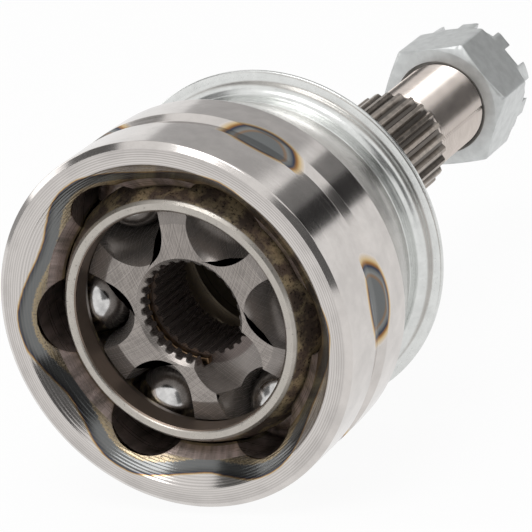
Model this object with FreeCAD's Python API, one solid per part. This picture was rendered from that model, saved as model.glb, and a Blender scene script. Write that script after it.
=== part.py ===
import FreeCAD, Part
import math
import os

# Outer constant-velocity joint of a driveshaft, fixed-centre six-ball type.
# Millimetres. The joint centre is the origin. The wheel stub runs along +Y,
# the mouth that takes the driveshaft faces -Y, and +Z is up.

V = FreeCAD.Vector
ORIGIN = V(0, 0, 0)
STUB_AXIS = V(0, 1, 0)
TILT_AXIS = V(0, 0, 1)

# ---------------------------------------------------------------- driving sizes
# Balls and the circular tracks that they roll in
BALL_COUNT = 6
BALL_DIAMETER = 16.669          # 21/32 inch bearing ball
TRACK_PATH_RADIUS = 28.6        # arc that a ball centre follows in either race
TRACK_OFFSET = 3.2              # track arc centres lie this far each side of the joint centre
TRACK_CLEARANCE = 0.35          # groove radius over ball radius
ARTICULATION = 42.0             # largest shaft angle each way, degrees
TRACK_END_SPARE = 3.0           # degrees of track past the last ball position
TRACK_MOUTH_REACH = 75.0        # degrees towards an open side, where the groove leaves the metal

# Ball cage
CAGE_STAND_OUT = 3.6            # outer sphere outside the ball circle
CAGE_WALL = 4.5
CAGE_FRONT = 16.6               # joint centre to the front ring's face
CAGE_REAR = 14.4                # joint centre to the rear ring's face
CAGE_LIP = 2.42                 # entry bore inside the cage's inner sphere
CAGE_EDGE = 0.6                 # bevel on the ring faces
GUIDE_CLEARANCE = 0.3           # between the spherical guide faces
WINDOW_SIDE_CLEARANCE = 0.35    # ball to window, along the joint
WINDOW_END_CLEARANCE = 0.45     # ball to window, round the cage, beyond the ball's swing
WINDOW_CORNER = 3.5

# Inner race
RACE_FRONT_WALL = 0.8           # metal between track floor and bore chamfer at the end faces
RACE_FACE_DIAMETER = 41.0       # flat end face; a cone runs from it to the spherical land
RACE_CONE_DEPTH = 1.3
SHAFT_SPLINE_TEETH = 28
SHAFT_SPLINE_TIP_DIAMETER = 22.6
SHAFT_SPLINE_ROOT_DIAMETER = 24.0
SHAFT_SPACE_TIP = 0.72          # width of a tooth space at the bore, as a part of the pitch
SHAFT_SPACE_ROOT = 0.40
BORE_CHAMFER = 0.7              # bore chamfer radius beyond the spline root
BORE_CHAMFER_DEPTH = 1.4
RING_LAND = 2.5                 # toothed ring between the bore chamfer and the clip groove
RING_GROOVE_WIDTH = 2.8
RING_GROOVE_DEPTH = 1.95         # below the spline root
POCKET_RADIUS = 8.5             # milled recess that lets pliers reach the clip
POCKET_CENTRE_RADIUS = 13.2
POCKET_AZIMUTH = 303.0

# Retaining ring
RING_THICKNESS = 2.0
RING_BAND = 1.5                 # radial width
RING_FLOAT = 0.25               # gap to the groove floor
RING_GAP_HALF = 33.0            # degrees from the pocket's middle to either end

# Bell of the outer race
BELL_WALL = 4.7                 # metal outside the deepest part of a track
MOUTH_DEPTH = 20.3              # joint centre to the mouth face
MOUTH_RIM = 4.78                # outside of the bell to the edge of the entry cone
MOUTH_CHAMFER_WIDTH = 1.4
MOUTH_CHAMFER_DEPTH = 1.2
BOOT_GROOVE_FROM_MOUTH = 14.9
BOOT_GROOVE_WIDTH = 3.7
BOOT_GROOVE_DEPTH = 1.2
BOOT_GROOVE_LEAD = 0.9          # sloping front flank of the groove
BELL_LENGTH = 28.9              # mouth face to the start of the rear shoulder
SHOULDER_LENGTH = 17.8          # tapered shoulder behind the cylinder
CAVITY_FLOOR_GAP = 1.7          # inner race's swept sphere to the flat cavity floor
CAVITY_CORNER = 2.0             # slope between the guide sphere and the cavity floor
FLOOR_THICKNESS = 9.0           # cavity floor to the hub face

# Wheel stub
HUB_FACE_BEVEL = 1.4
JOURNAL_DIAMETER = 30.0
JOURNAL_FILLET = 2.0
JOURNAL_LENGTH = 10.0
STUB_SPLINE_TEETH = 26
STUB_SPLINE_DIAMETER = 26.0
STUB_SPLINE_ROOT_DIAMETER = 23.8
STUB_SPACE_ROOT = 0.32          # width of a tooth space at its root, as a part of the pitch
STUB_SPACE_TIP = 0.72
STUB_SPLINE_LENGTH = 56.0       # journal end to the end bevel
STUB_SPLINE_RUNOUT = 4.0        # where the hob lifts out towards the journal
STUB_BEVEL = 1.3
THREAD_DIAMETER = 22.0          # M22 x 1
THREAD_PITCH = 1.0
THREAD_LENGTH = 49.0
THREAD_END_CHAMFER = 1.2
COTTER_HOLE_DIAMETER = 4.5
COTTER_HOLE_FROM_END = 19.5

# Pressed dust shield
SHIELD_SEAT_STAND_OUT = 1.9     # seat outside the cage guide sphere
SHIELD_SHEET = 1.2
SHIELD_SEAT_LENGTH = 8.4
SHIELD_COLLAR_LENGTH = 2.9      # straight part on the seat before the flare
SHIELD_FLARE_RADIUS = 2.7       # quarter turn from the collar out to the rim
SHIELD_RIM_WIDTH = 2.4          # annulus outside the flare
SHIELD_RIM_DROP = 0.7

# Castle nut
NUT_ACROSS_FLATS = 30.0
NUT_HEIGHT = 21.0
NUT_FACE_DIAMETER = 29.5        # washer face
NUT_CHAMFER_ANGLE = 30.0
NUT_BORE_CHAMFER = 1.45
NUT_CORNER_AZIMUTH = 4.0
CROWN_DIAMETER = 31.4
CROWN_HEIGHT = 5.2
CROWN_SLOTS = 10
CROWN_SLOT_WIDTH = 5.4
CROWN_SLOT_DEPTH = 3.9
CROWN_SLOT_AZIMUTH = 64.0
CROWN_EDGE = 1.0                # bevel on the crown's outer edge
CROWN_BORE_EDGE = 0.6
NUT_FROM_THREAD_END = 23.0      # washer face to the end of the thread as supplied

# Cutters
CUT_PAST = 1.0                  # how far a cutter runs past the face that it opens

# --------------------------------------------------------------- worked-out sizes
BALL_RADIUS = BALL_DIAMETER / 2
PITCH_RADIUS = math.sqrt(TRACK_PATH_RADIUS ** 2 - TRACK_OFFSET ** 2)
GROOVE_RADIUS = BALL_RADIUS + TRACK_CLEARANCE
REST_LATITUDE = math.degrees(math.asin(TRACK_OFFSET / TRACK_PATH_RADIUS))
BALL_ANGLE = math.degrees(math.asin(BALL_RADIUS / TRACK_PATH_RADIUS))
TRACK_REACH = ARTICULATION / 2 + REST_LATITUDE + BALL_ANGLE + TRACK_END_SPARE

CAGE_OUTER_RADIUS = PITCH_RADIUS + CAGE_STAND_OUT
CAGE_INNER_RADIUS = CAGE_OUTER_RADIUS - CAGE_WALL
GUIDE_RADIUS = CAGE_OUTER_RADIUS + GUIDE_CLEARANCE
RACE_RADIUS = CAGE_INNER_RADIUS - GUIDE_CLEARANCE

BALL_PITCH_ANGLE = 360.0 / BALL_COUNT
# The tilt axis is +Z and a ball lies on +X, so the ball nearest the tilt axis is this far from it.
NEAREST_BALL = math.radians(90 - 90 // BALL_PITCH_ANGLE * BALL_PITCH_ANGLE)
SWUNG_BALL = math.atan(math.tan(NEAREST_BALL) / math.cos(math.radians(ARTICULATION / 2)))
WINDOW_SWING = PITCH_RADIUS * (SWUNG_BALL - NEAREST_BALL)
WINDOW_HALF_WIDTH = BALL_RADIUS + WINDOW_SIDE_CLEARANCE
WINDOW_HALF_LENGTH = BALL_RADIUS + WINDOW_SWING + WINDOW_END_CLEARANCE

SPLINE_TIP_RADIUS = SHAFT_SPLINE_TIP_DIAMETER / 2
SPLINE_ROOT_RADIUS = SHAFT_SPLINE_ROOT_DIAMETER / 2
BORE_CHAMFER_RADIUS = SPLINE_ROOT_RADIUS + BORE_CHAMFER
TRACK_FLOOR_RADIUS = TRACK_PATH_RADIUS - GROOVE_RADIUS
RACE_HALF_WIDTH = (
    math.sqrt(TRACK_FLOOR_RADIUS ** 2 - (BORE_CHAMFER_RADIUS + RACE_FRONT_WALL) ** 2) - TRACK_OFFSET
)
RING_GROOVE_START = -RACE_HALF_WIDTH + BORE_CHAMFER_DEPTH + RING_LAND
RING_GROOVE_END = RING_GROOVE_START + RING_GROOVE_WIDTH
RING_GROOVE_RADIUS = SPLINE_ROOT_RADIUS + RING_GROOVE_DEPTH

BELL_RADIUS = TRACK_PATH_RADIUS + GROOVE_RADIUS + BELL_WALL
MOUTH_Y = -MOUTH_DEPTH
MOUTH_RADIUS = BELL_RADIUS - MOUTH_RIM
BELL_END_Y = MOUTH_Y + BELL_LENGTH
SHOULDER_END_Y = BELL_END_Y + SHOULDER_LENGTH
CAVITY_FLOOR_Y = RACE_RADIUS * math.sin(
    math.radians(ARTICULATION) + math.asin(RACE_HALF_WIDTH / RACE_RADIUS)
) + CAVITY_FLOOR_GAP
HUB_FACE_Y = CAVITY_FLOOR_Y + FLOOR_THICKNESS
SHIELD_SEAT_RADIUS = GUIDE_RADIUS + SHIELD_SEAT_STAND_OUT
SHIELD_COLLAR_RADIUS = SHIELD_SEAT_RADIUS + SHIELD_SHEET
JOURNAL_END_Y = HUB_FACE_Y + JOURNAL_LENGTH
SPLINE_END_Y = JOURNAL_END_Y + STUB_SPLINE_LENGTH
THREAD_END_Y = SPLINE_END_Y + THREAD_LENGTH
THREAD_HEIGHT = THREAD_PITCH * math.sqrt(3) / 2
THREAD_ROOT_RADIUS = THREAD_DIAMETER / 2 - THREAD_HEIGHT * 17 / 24
NUT_BORE_RADIUS = THREAD_DIAMETER / 2 - THREAD_HEIGHT * 5 / 8
NUT_FACE_Y = THREAD_END_Y - NUT_FROM_THREAD_END
NUT_CORNER_RADIUS = NUT_ACROSS_FLATS / 2 / math.cos(math.pi / 6)


# ------------------------------------------------------------------------ helpers
def radial(azimuth):
    """Unit vector square to the stub axis, azimuth in degrees from +X towards +Z."""
    turn = math.radians(azimuth)
    return V(math.cos(turn), 0, math.sin(turn))


def meridian(radius, y):
    """Point of a turned outline in the plane of +X and the stub axis."""
    return V(radius, y, 0)


def on_sphere(sphere_radius, y):
    """Radius at which a sphere round the joint centre stands at height y."""
    return math.sqrt(sphere_radius ** 2 - y ** 2)


def sphere_arc(sphere_radius, start_y, end_y):
    """Arc of a sphere round the joint centre, as an edge of a turned outline."""
    middle_y = (start_y + end_y) / 2
    heights = (start_y, middle_y, end_y)
    return Part.Arc(*[meridian(on_sphere(sphere_radius, y), y) for y in heights])


def turned(outline):
    """Solid of revolution about the stub axis.

    The outline lists points, with sphere arcs between the points that they join.
    """
    edges = []
    last = None
    for item in outline:
        if isinstance(item, Part.Arc):
            start = item.StartPoint
            if last is not None and last.distanceToPoint(start) > 1e-6:
                edges.append(Part.makeLine(last, start))
            edges.append(item.toShape())
            last = item.EndPoint
        else:
            if last is not None and last.distanceToPoint(item) > 1e-6:
                edges.append(Part.makeLine(last, item))
            last = item
    first = edges[0].Vertexes[0].Point
    if last.distanceToPoint(first) > 1e-6:
        edges.append(Part.makeLine(last, first))
    face = Part.Face(Part.Wire(edges))
    return face.revolve(ORIGIN, STUB_AXIS, 360)


def turned_to(shape, azimuth):
    """Copy of a shape that was made at azimuth 0, turned round the stub axis to azimuth."""
    copy = shape.copy()
    copy.rotate(ORIGIN, STUB_AXIS, -azimuth)
    return copy


def around(shape, count, first=0.0):
    """Equally spaced copies of a shape round the stub axis."""
    return [turned_to(shape, first + k * 360.0 / count) for k in range(count)]


def ball_track(offset_y, from_angle, to_angle):
    """Groove cutter at azimuth 0: a disc swept along the ball path about a point on the axis."""
    centre = V(0, offset_y, 0)
    circle = Part.makeCircle(GROOVE_RADIUS, meridian(TRACK_PATH_RADIUS, offset_y), STUB_AXIS)
    disc = Part.Face(Part.Wire(circle))
    disc.rotate(centre, TILT_AXIS, from_angle)
    return disc.revolve(centre, TILT_AXIS, to_angle - from_angle)


def tooth_space(inner_radius, inner_width, outer_radius, outer_width, start_y, length):
    """Straight-flanked tooth space at azimuth 0, running along the stub axis."""
    corners = [
        V(inner_radius, start_y, -inner_width / 2),
        V(outer_radius, start_y, -outer_width / 2),
        V(outer_radius, start_y, outer_width / 2),
        V(inner_radius, start_y, inner_width / 2),
    ]
    return Part.Face(Part.makePolygon(corners + corners[:1])).extrude(V(0, length, 0))


def export(shape, name):
    shape = shape.removeSplitter()
    if not shape.isValid():
        raise ValueError(name + " is not a valid solid")
    if len(shape.Solids) != 1:
        raise ValueError(name + " is not one solid")
    shape.Solids[0].exportStep("parts/" + name + ".step")
    return shape.Solids[0]


# --------------------------------------------------------------------- outer race
def bell_and_stub():
    """Outside of the outer race: bell, shoulder, shield seat, hub face and wheel stub."""
    groove_front = MOUTH_Y + BOOT_GROOVE_FROM_MOUTH
    groove_back = groove_front + BOOT_GROOVE_WIDTH
    groove_floor = BELL_RADIUS - BOOT_GROOVE_DEPTH
    seat_end = HUB_FACE_Y - HUB_FACE_BEVEL
    spline_radius = STUB_SPLINE_DIAMETER / 2
    journal_radius = JOURNAL_DIAMETER / 2
    fillet_middle = JOURNAL_FILLET * (1 - math.sqrt(0.5))
    hub_fillet = Part.Arc(
        meridian(journal_radius + JOURNAL_FILLET, HUB_FACE_Y),
        meridian(journal_radius + fillet_middle, HUB_FACE_Y + fillet_middle),
        meridian(journal_radius, HUB_FACE_Y + JOURNAL_FILLET),
    )
    return turned([
        meridian(0, MOUTH_Y),
        meridian(BELL_RADIUS - MOUTH_CHAMFER_WIDTH, MOUTH_Y),
        meridian(BELL_RADIUS, MOUTH_Y + MOUTH_CHAMFER_DEPTH),
        meridian(BELL_RADIUS, groove_front),
        meridian(groove_floor, groove_front + BOOT_GROOVE_LEAD),
        meridian(groove_floor, groove_back),
        meridian(BELL_RADIUS, groove_back),
        meridian(BELL_RADIUS, BELL_END_Y),
        meridian(SHIELD_COLLAR_RADIUS, SHOULDER_END_Y),
        meridian(SHIELD_SEAT_RADIUS, SHOULDER_END_Y),
        meridian(SHIELD_SEAT_RADIUS, seat_end),
        meridian(SHIELD_SEAT_RADIUS - HUB_FACE_BEVEL, HUB_FACE_Y),
        hub_fillet,
        meridian(journal_radius, JOURNAL_END_Y - STUB_BEVEL),
        meridian(spline_radius, JOURNAL_END_Y),
        meridian(spline_radius, SPLINE_END_Y - STUB_BEVEL),
        meridian(THREAD_ROOT_RADIUS, SPLINE_END_Y),
        meridian(THREAD_ROOT_RADIUS, THREAD_END_Y - THREAD_END_CHAMFER),
        meridian(THREAD_ROOT_RADIUS - THREAD_END_CHAMFER, THREAD_END_Y),
        meridian(0, THREAD_END_Y),
    ])


def bell_cavity():
    """Entry cone at 45 degrees, spherical cage guide and flat-floored grease space."""
    # The cone's radius falls as fast as it goes in, so it meets the guide sphere where
    # (reach - y)^2 + y^2 equals the sphere's radius squared.
    reach = MOUTH_RADIUS + MOUTH_Y
    cone_end = (reach - math.sqrt(2 * GUIDE_RADIUS ** 2 - reach ** 2)) / 2
    guide_end = CAVITY_FLOOR_Y - CAVITY_CORNER
    return turned([
        meridian(0, MOUTH_Y - CUT_PAST),
        meridian(MOUTH_RADIUS + CUT_PAST, MOUTH_Y - CUT_PAST),
        sphere_arc(GUIDE_RADIUS, cone_end, guide_end),
        meridian(on_sphere(GUIDE_RADIUS, guide_end) - CAVITY_CORNER, CAVITY_FLOOR_Y),
        meridian(0, CAVITY_FLOOR_Y),
    ])


def stub_spline_spaces():
    """Tooth spaces of the wheel spline, with the hob's slope at the journal end."""
    root = STUB_SPLINE_ROOT_DIAMETER / 2
    tip = STUB_SPLINE_DIAMETER / 2 + CUT_PAST
    pitch = math.pi * STUB_SPLINE_DIAMETER / STUB_SPLINE_TEETH
    length = SPLINE_END_Y - JOURNAL_END_Y + CUT_PAST
    space = tooth_space(
        root, pitch * STUB_SPACE_ROOT, tip, pitch * STUB_SPACE_TIP, JOURNAL_END_Y, length
    )
    depth = STUB_SPLINE_DIAMETER / 2 - root
    runout_corners = [
        V(root, JOURNAL_END_Y, -pitch),
        V(root, JOURNAL_END_Y + STUB_SPLINE_RUNOUT, -pitch),
        V(root + depth, JOURNAL_END_Y, -pitch),
        V(root, JOURNAL_END_Y, -pitch),
    ]
    runout = Part.Face(Part.makePolygon(runout_corners)).extrude(V(0, 0, 2 * pitch))
    return around(space.cut(runout), STUB_SPLINE_TEETH)


def make_outer_race():
    body = bell_and_stub().cut(bell_cavity())
    track = ball_track(-TRACK_OFFSET, -TRACK_MOUTH_REACH, TRACK_REACH)
    hole_start = V(0, THREAD_END_Y - COTTER_HOLE_FROM_END, -THREAD_DIAMETER / 2)
    cotter = Part.makeCylinder(COTTER_HOLE_DIAMETER / 2, THREAD_DIAMETER, hole_start, TILT_AXIS)
    return body.cut(around(track, BALL_COUNT) + stub_spline_spaces() + [cotter])


# --------------------------------------------------------------------------- cage
def cage_window():
    """Rounded window cutter at azimuth 0, square to the stub axis."""
    depth = CAGE_OUTER_RADIUS
    box = Part.makeBox(
        depth, 2 * WINDOW_HALF_WIDTH, 2 * WINDOW_HALF_LENGTH,
        V(CAGE_INNER_RADIUS / 2, -WINDOW_HALF_WIDTH, -WINDOW_HALF_LENGTH),
    )
    long_edges = [e for e in box.Edges if abs(e.tangentAt(e.FirstParameter).x) > 0.99]
    return box.makeFillet(WINDOW_CORNER, long_edges)


def make_cage():
    mouth = CAGE_INNER_RADIUS - CAGE_LIP
    front = -CAGE_FRONT
    outer_front = on_sphere(CAGE_OUTER_RADIUS, front)
    entry_end = -math.sqrt(CAGE_INNER_RADIUS ** 2 - mouth ** 2)
    outer_rear = on_sphere(CAGE_OUTER_RADIUS, CAGE_REAR)
    inner_rear = on_sphere(CAGE_INNER_RADIUS, CAGE_REAR)
    body = turned([
        meridian(mouth + CAGE_EDGE, front),
        meridian(outer_front - CAGE_EDGE / 2, front),
        sphere_arc(CAGE_OUTER_RADIUS, front + CAGE_EDGE, CAGE_REAR - CAGE_EDGE),
        meridian(outer_rear - CAGE_EDGE / 2, CAGE_REAR),
        meridian(inner_rear + CAGE_EDGE / 2, CAGE_REAR),
        sphere_arc(CAGE_INNER_RADIUS, CAGE_REAR - CAGE_EDGE, entry_end),
        meridian(mouth, front + CAGE_EDGE),
    ])
    return body.cut(around(cage_window(), BALL_COUNT))


# --------------------------------------------------------------------- inner race
def race_blank():
    face = RACE_FACE_DIAMETER / 2
    cone_y = RACE_HALF_WIDTH - RACE_CONE_DEPTH
    mouth_y = RACE_HALF_WIDTH - BORE_CHAMFER_DEPTH
    return turned([
        meridian(BORE_CHAMFER_RADIUS, -RACE_HALF_WIDTH),
        meridian(face, -RACE_HALF_WIDTH),
        sphere_arc(RACE_RADIUS, -cone_y, cone_y),
        meridian(face, RACE_HALF_WIDTH),
        meridian(BORE_CHAMFER_RADIUS, RACE_HALF_WIDTH),
        meridian(SPLINE_TIP_RADIUS, mouth_y),
        meridian(SPLINE_TIP_RADIUS, -mouth_y),
    ])


def shaft_spline_spaces():
    pitch = math.pi * SHAFT_SPLINE_TIP_DIAMETER / SHAFT_SPLINE_TEETH
    start = -RACE_HALF_WIDTH - CUT_PAST
    space = tooth_space(
        SPLINE_TIP_RADIUS - CUT_PAST, pitch * SHAFT_SPACE_TIP,
        SPLINE_ROOT_RADIUS, pitch * SHAFT_SPACE_ROOT, start, -2 * start,
    )
    return around(space, SHAFT_SPLINE_TEETH)


def ring_groove():
    return turned([
        meridian(SPLINE_TIP_RADIUS - CUT_PAST, RING_GROOVE_START),
        meridian(RING_GROOVE_RADIUS, RING_GROOVE_START),
        meridian(RING_GROOVE_RADIUS, RING_GROOVE_END),
        meridian(SPLINE_TIP_RADIUS - CUT_PAST, RING_GROOVE_END),
    ])


def plier_pocket():
    start = -RACE_HALF_WIDTH - CUT_PAST
    centre = radial(POCKET_AZIMUTH) * POCKET_CENTRE_RADIUS + V(0, start, 0)
    return Part.makeCylinder(POCKET_RADIUS, RING_GROOVE_END - start, centre, STUB_AXIS)


def make_inner_race():
    track = ball_track(TRACK_OFFSET, -TRACK_MOUTH_REACH, TRACK_MOUTH_REACH)
    cutters = around(track, BALL_COUNT) + shaft_spline_spaces() + [ring_groove(), plier_pocket()]
    return race_blank().cut(cutters)


def make_retaining_ring():
    """Open spring ring that rests on the back wall of its groove, both ends inside the pocket."""
    outer = RING_GROOVE_RADIUS - RING_FLOAT
    inner = outer - RING_BAND
    start = RING_GROOVE_END - RING_THICKNESS
    band = Part.makeCylinder(outer, RING_THICKNESS, V(0, start, 0), STUB_AXIS)
    band = band.cut(Part.makeCylinder(inner, RING_THICKNESS, V(0, start, 0), STUB_AXIS))
    base = V(0, start - CUT_PAST, 0)
    turns = (-RING_GAP_HALF, 0, RING_GAP_HALF)
    rays = [base + radial(POCKET_AZIMUTH + turn) * 2 * outer for turn in turns]
    wedge_face = Part.Face(Part.makePolygon([base] + rays + [base]))
    return band.cut(wedge_face.extrude(V(0, RING_THICKNESS + 2 * CUT_PAST, 0)))


# ---------------------------------------------------------------- shield and nut
def make_dust_shield():
    """Pressed ring: collar on the seat, flare, flat rim."""
    collar_end = SHOULDER_END_Y + SHIELD_COLLAR_LENGTH
    flare_end = collar_end + SHIELD_FLARE_RADIUS
    outside = SHIELD_COLLAR_RADIUS
    inside = SHIELD_SEAT_RADIUS
    rim_start = outside + SHIELD_FLARE_RADIUS
    rim_end = rim_start + SHIELD_RIM_WIDTH
    middle = math.sqrt(0.5)
    back_radius = SHIELD_FLARE_RADIUS + SHIELD_SHEET
    front_flare = Part.Arc(
        meridian(outside, collar_end),
        meridian(rim_start - SHIELD_FLARE_RADIUS * middle, collar_end + SHIELD_FLARE_RADIUS * middle),
        meridian(rim_start, flare_end),
    )
    back_flare = Part.Arc(
        meridian(rim_start, flare_end + SHIELD_SHEET),
        meridian(rim_start - back_radius * middle, collar_end + back_radius * middle),
        meridian(inside, collar_end),
    )
    return turned([
        meridian(inside, SHOULDER_END_Y),
        meridian(outside, SHOULDER_END_Y),
        front_flare,
        meridian(rim_end, flare_end + SHIELD_RIM_DROP),
        meridian(rim_end, flare_end + SHIELD_RIM_DROP + SHIELD_SHEET),
        back_flare,
    ])


def nut_hexagon():
    base = V(0, NUT_FACE_Y, 0)
    points = [base + radial(NUT_CORNER_AZIMUTH + 60 * k) * NUT_CORNER_RADIUS for k in range(7)]
    return Part.Face(Part.makePolygon(points)).extrude(V(0, NUT_HEIGHT, 0))


def make_castle_nut():
    past_corner = NUT_CORNER_RADIUS + CUT_PAST
    face_radius = NUT_FACE_DIAMETER / 2
    end_y = NUT_FACE_Y + NUT_HEIGHT
    crown_start = end_y - CROWN_HEIGHT
    crown_radius = CROWN_DIAMETER / 2
    slope = math.tan(math.radians(NUT_CHAMFER_ANGLE))
    envelope = turned([
        meridian(NUT_BORE_RADIUS, NUT_FACE_Y + NUT_BORE_CHAMFER),
        meridian(NUT_BORE_RADIUS + NUT_BORE_CHAMFER, NUT_FACE_Y),
        meridian(face_radius, NUT_FACE_Y),
        meridian(past_corner, NUT_FACE_Y + (past_corner - face_radius) * slope),
        meridian(past_corner, crown_start - (past_corner - crown_radius) * slope),
        meridian(crown_radius, crown_start),
        meridian(crown_radius, end_y - CROWN_EDGE),
        meridian(crown_radius - CROWN_EDGE, end_y),
        meridian(NUT_BORE_RADIUS + CROWN_BORE_EDGE, end_y),
        meridian(NUT_BORE_RADIUS, end_y - CROWN_BORE_EDGE),
    ])
    slot = Part.makeBox(
        CROWN_DIAMETER, CROWN_SLOT_DEPTH + CUT_PAST, CROWN_SLOT_WIDTH,
        V(0, end_y - CROWN_SLOT_DEPTH, -CROWN_SLOT_WIDTH / 2),
    )
    return envelope.common(nut_hexagon()).cut(around(slot, CROWN_SLOTS, CROWN_SLOT_AZIMUTH))


# -------------------------------------------------------------------------- build
def main():
    os.makedirs("parts", exist_ok=True)
    export(make_outer_race(), "outer_race")
    export(make_cage(), "cage")
    export(make_inner_race(), "inner_race")
    export(make_retaining_ring(), "retaining_ring")
    export(make_dust_shield(), "dust_shield")
    export(make_castle_nut(), "castle_nut")
    ball = Part.makeSphere(BALL_RADIUS, meridian(PITCH_RADIUS, 0))
    for k, placed in enumerate(around(ball, BALL_COUNT)):
        export(placed, "ball_%d" % (k + 1))


main()
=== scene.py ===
import math
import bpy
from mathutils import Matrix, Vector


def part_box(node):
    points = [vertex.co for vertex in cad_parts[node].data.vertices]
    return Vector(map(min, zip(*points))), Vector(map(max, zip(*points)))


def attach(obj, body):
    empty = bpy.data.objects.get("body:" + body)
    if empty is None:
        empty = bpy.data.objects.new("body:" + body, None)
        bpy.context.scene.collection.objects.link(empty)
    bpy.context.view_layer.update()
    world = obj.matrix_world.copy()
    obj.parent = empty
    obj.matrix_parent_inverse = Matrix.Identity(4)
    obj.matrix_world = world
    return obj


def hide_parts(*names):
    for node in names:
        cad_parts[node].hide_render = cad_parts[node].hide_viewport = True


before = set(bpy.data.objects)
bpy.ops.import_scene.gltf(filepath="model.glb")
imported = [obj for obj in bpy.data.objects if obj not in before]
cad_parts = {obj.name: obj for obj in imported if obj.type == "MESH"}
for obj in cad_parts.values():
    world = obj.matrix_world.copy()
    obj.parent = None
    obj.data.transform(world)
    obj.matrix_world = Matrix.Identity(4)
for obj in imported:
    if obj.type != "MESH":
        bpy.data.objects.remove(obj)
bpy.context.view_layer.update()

from types import SimpleNamespace

import bmesh
import bpy
import numpy as np
from bpy.props import FloatProperty, FloatVectorProperty, IntProperty, PointerProperty
from mathutils import Matrix, Vector

bl_info = {
    "name": "Constant-velocity joint",
    "version": (1, 0, 0),
    "blender": (4, 5, 0),
    "location": "View3D > Sidebar > CV joint",
    "description": "Builds the outer joint of a driveshaft piece by piece around its packed frame",
    "category": "Add Mesh",
}

# Work is in millimetres and degrees. Azimuth runs from +X towards +Z round the stub axis, which is +Y.
MM = 0.001
TURN = 2 * np.pi
SECTORS = 6
TRACK_COLUMNS = 32
LAND_COLUMNS = 24
# Depth of a 60 degree thread over its pitch, on the stub and in the nut
STUB_THREAD_DEPTH = 0.6134
NUT_THREAD_DEPTH = 0.5413


# ------------------------------------------------------------------ sizes read from the frame
def frame_mm(node):
    """Low and high corner of a node's box in millimetres."""
    low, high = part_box(node)
    return np.array(low) / MM, np.array(high) / MM


RACE_LOW, RACE_HIGH = frame_mm("outer_race")
BALL_LOW, BALL_HIGH = frame_mm("ball_1")
CAGE_LOW, CAGE_HIGH = frame_mm("cage")
INNER_LOW, INNER_HIGH = frame_mm("inner_race")
CLIP_LOW, CLIP_HIGH = frame_mm("retaining_ring")
SHIELD_LOW, SHIELD_HIGH = frame_mm("dust_shield")
NUT_LOW, NUT_HIGH = frame_mm("castle_nut")


def length(name, millimetres, description):
    return FloatProperty(
        name=name, description=description, default=millimetres * MM, unit="LENGTH", precision=5)


def angle(name, degrees, description):
    return FloatProperty(name=name, description=description, default=math.radians(degrees), subtype="ANGLE")


def colour(name, rgb, description):
    return FloatVectorProperty(
        name=name, description=description, default=rgb, size=3, subtype="COLOR", min=0, max=1)


def number(name, count, description):
    return IntProperty(name=name, description=description, default=count)


class CVJOINT_PG_bell(bpy.types.PropertyGroup):
    """Sizes of the outer race: bell, boot groove, shoulder, hub face and journal."""
    radius: length("Bell radius", RACE_HIGH[0], "Outside of the bell")
    mouth: length("Mouth face", RACE_LOW[1], "Height of the mouth face, below the joint centre")
    mouth_radius: length("Mouth radius", 37.2, "Where the entry cone meets the mouth face")
    mouth_bevel: length("Mouth bevel width", 1.4, "Radial width of the bevel on the mouth's outer edge")
    mouth_bevel_depth: length("Mouth bevel depth", 1.2, "Depth of that bevel along the axis")
    guide_radius: length("Guide radius", 32.3204, "Spherical bore that carries the cage")
    floor: length("Cavity floor", 26.7285, "Height of the flat floor inside the bell")
    groove_front: length("Boot groove front", -7.3, "Front edge of the boot groove")
    groove_back: length("Boot groove back", -0.95, "Back edge of the boot groove")
    groove_lead: length("Boot groove lead", 0.7, "Run of the groove's front flank")
    groove_flank: length("Boot groove flank", 2.0, "Run of the groove's sloping back flank")
    groove_depth: length("Boot groove depth", 1.2, "Depth of the boot groove")
    cylinder_end: length("Cylinder end", 8.6, "Where the tapered shoulder begins")
    shoulder_end: length("Shoulder end", 26.4, "Where the tapered shoulder meets the shield")
    shoulder_radius: length("Shoulder end radius", 35.4204, "Radius of the shoulder at the shield")
    seat_radius: length("Shield seat radius", 34.2204, "Turned seat under the shield's collar")
    hub_face: length("Hub face", 35.7285, "Height of the face that the wheel bearing rests on")
    hub_bevel: length("Hub face bevel", 1.4, "Bevel between seat and hub face")
    journal_radius: length("Journal radius", 15.0, "Plain journal before the spline")
    journal_end: length("Journal end", 45.7285, "Height of the journal's end")


class CVJOINT_PG_tracks(bpy.types.PropertyGroup):
    """Sizes of the ball tracks, balls and cage."""
    ball_radius: length("Ball radius", (BALL_HIGH[1] - BALL_LOW[1]) / 2, "Bearing ball")
    path_radius: length("Track path radius", 28.6, "Arc that a ball's centre follows")
    offset: length("Track offset", 3.2, "Track arc centres lie this far each side of the joint centre")
    groove_radius: length("Track groove radius", 8.6845, "Round section of a track")
    cage_radius: length("Cage radius", CAGE_HIGH[2], "Outer sphere of the cage")
    cage_wall: length("Cage wall", 4.5, "Thickness of the cage")
    cage_mouth: length("Cage entry radius", 25.1, "Entry bore at the cage's front")
    window_half_width: length("Window half width", 8.6845, "Half of a window, along the joint")
    window_half_length: length("Window half length", 9.6423, "Half of a window, round the cage")
    window_corner: length("Window corner radius", 3.5, "Rounded window corners")
    race_radius: length("Inner race radius", 27.2204, "Spherical lands of the inner race")
    race_face: length("Inner race face radius", 20.5, "Flat end face of the inner race")
    race_cone: length("Inner race cone depth", 1.3, "Depth of the cone between face and land")
    race_half: length("Inner race half width", INNER_HIGH[1], "Half of the inner race's width")


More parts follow.
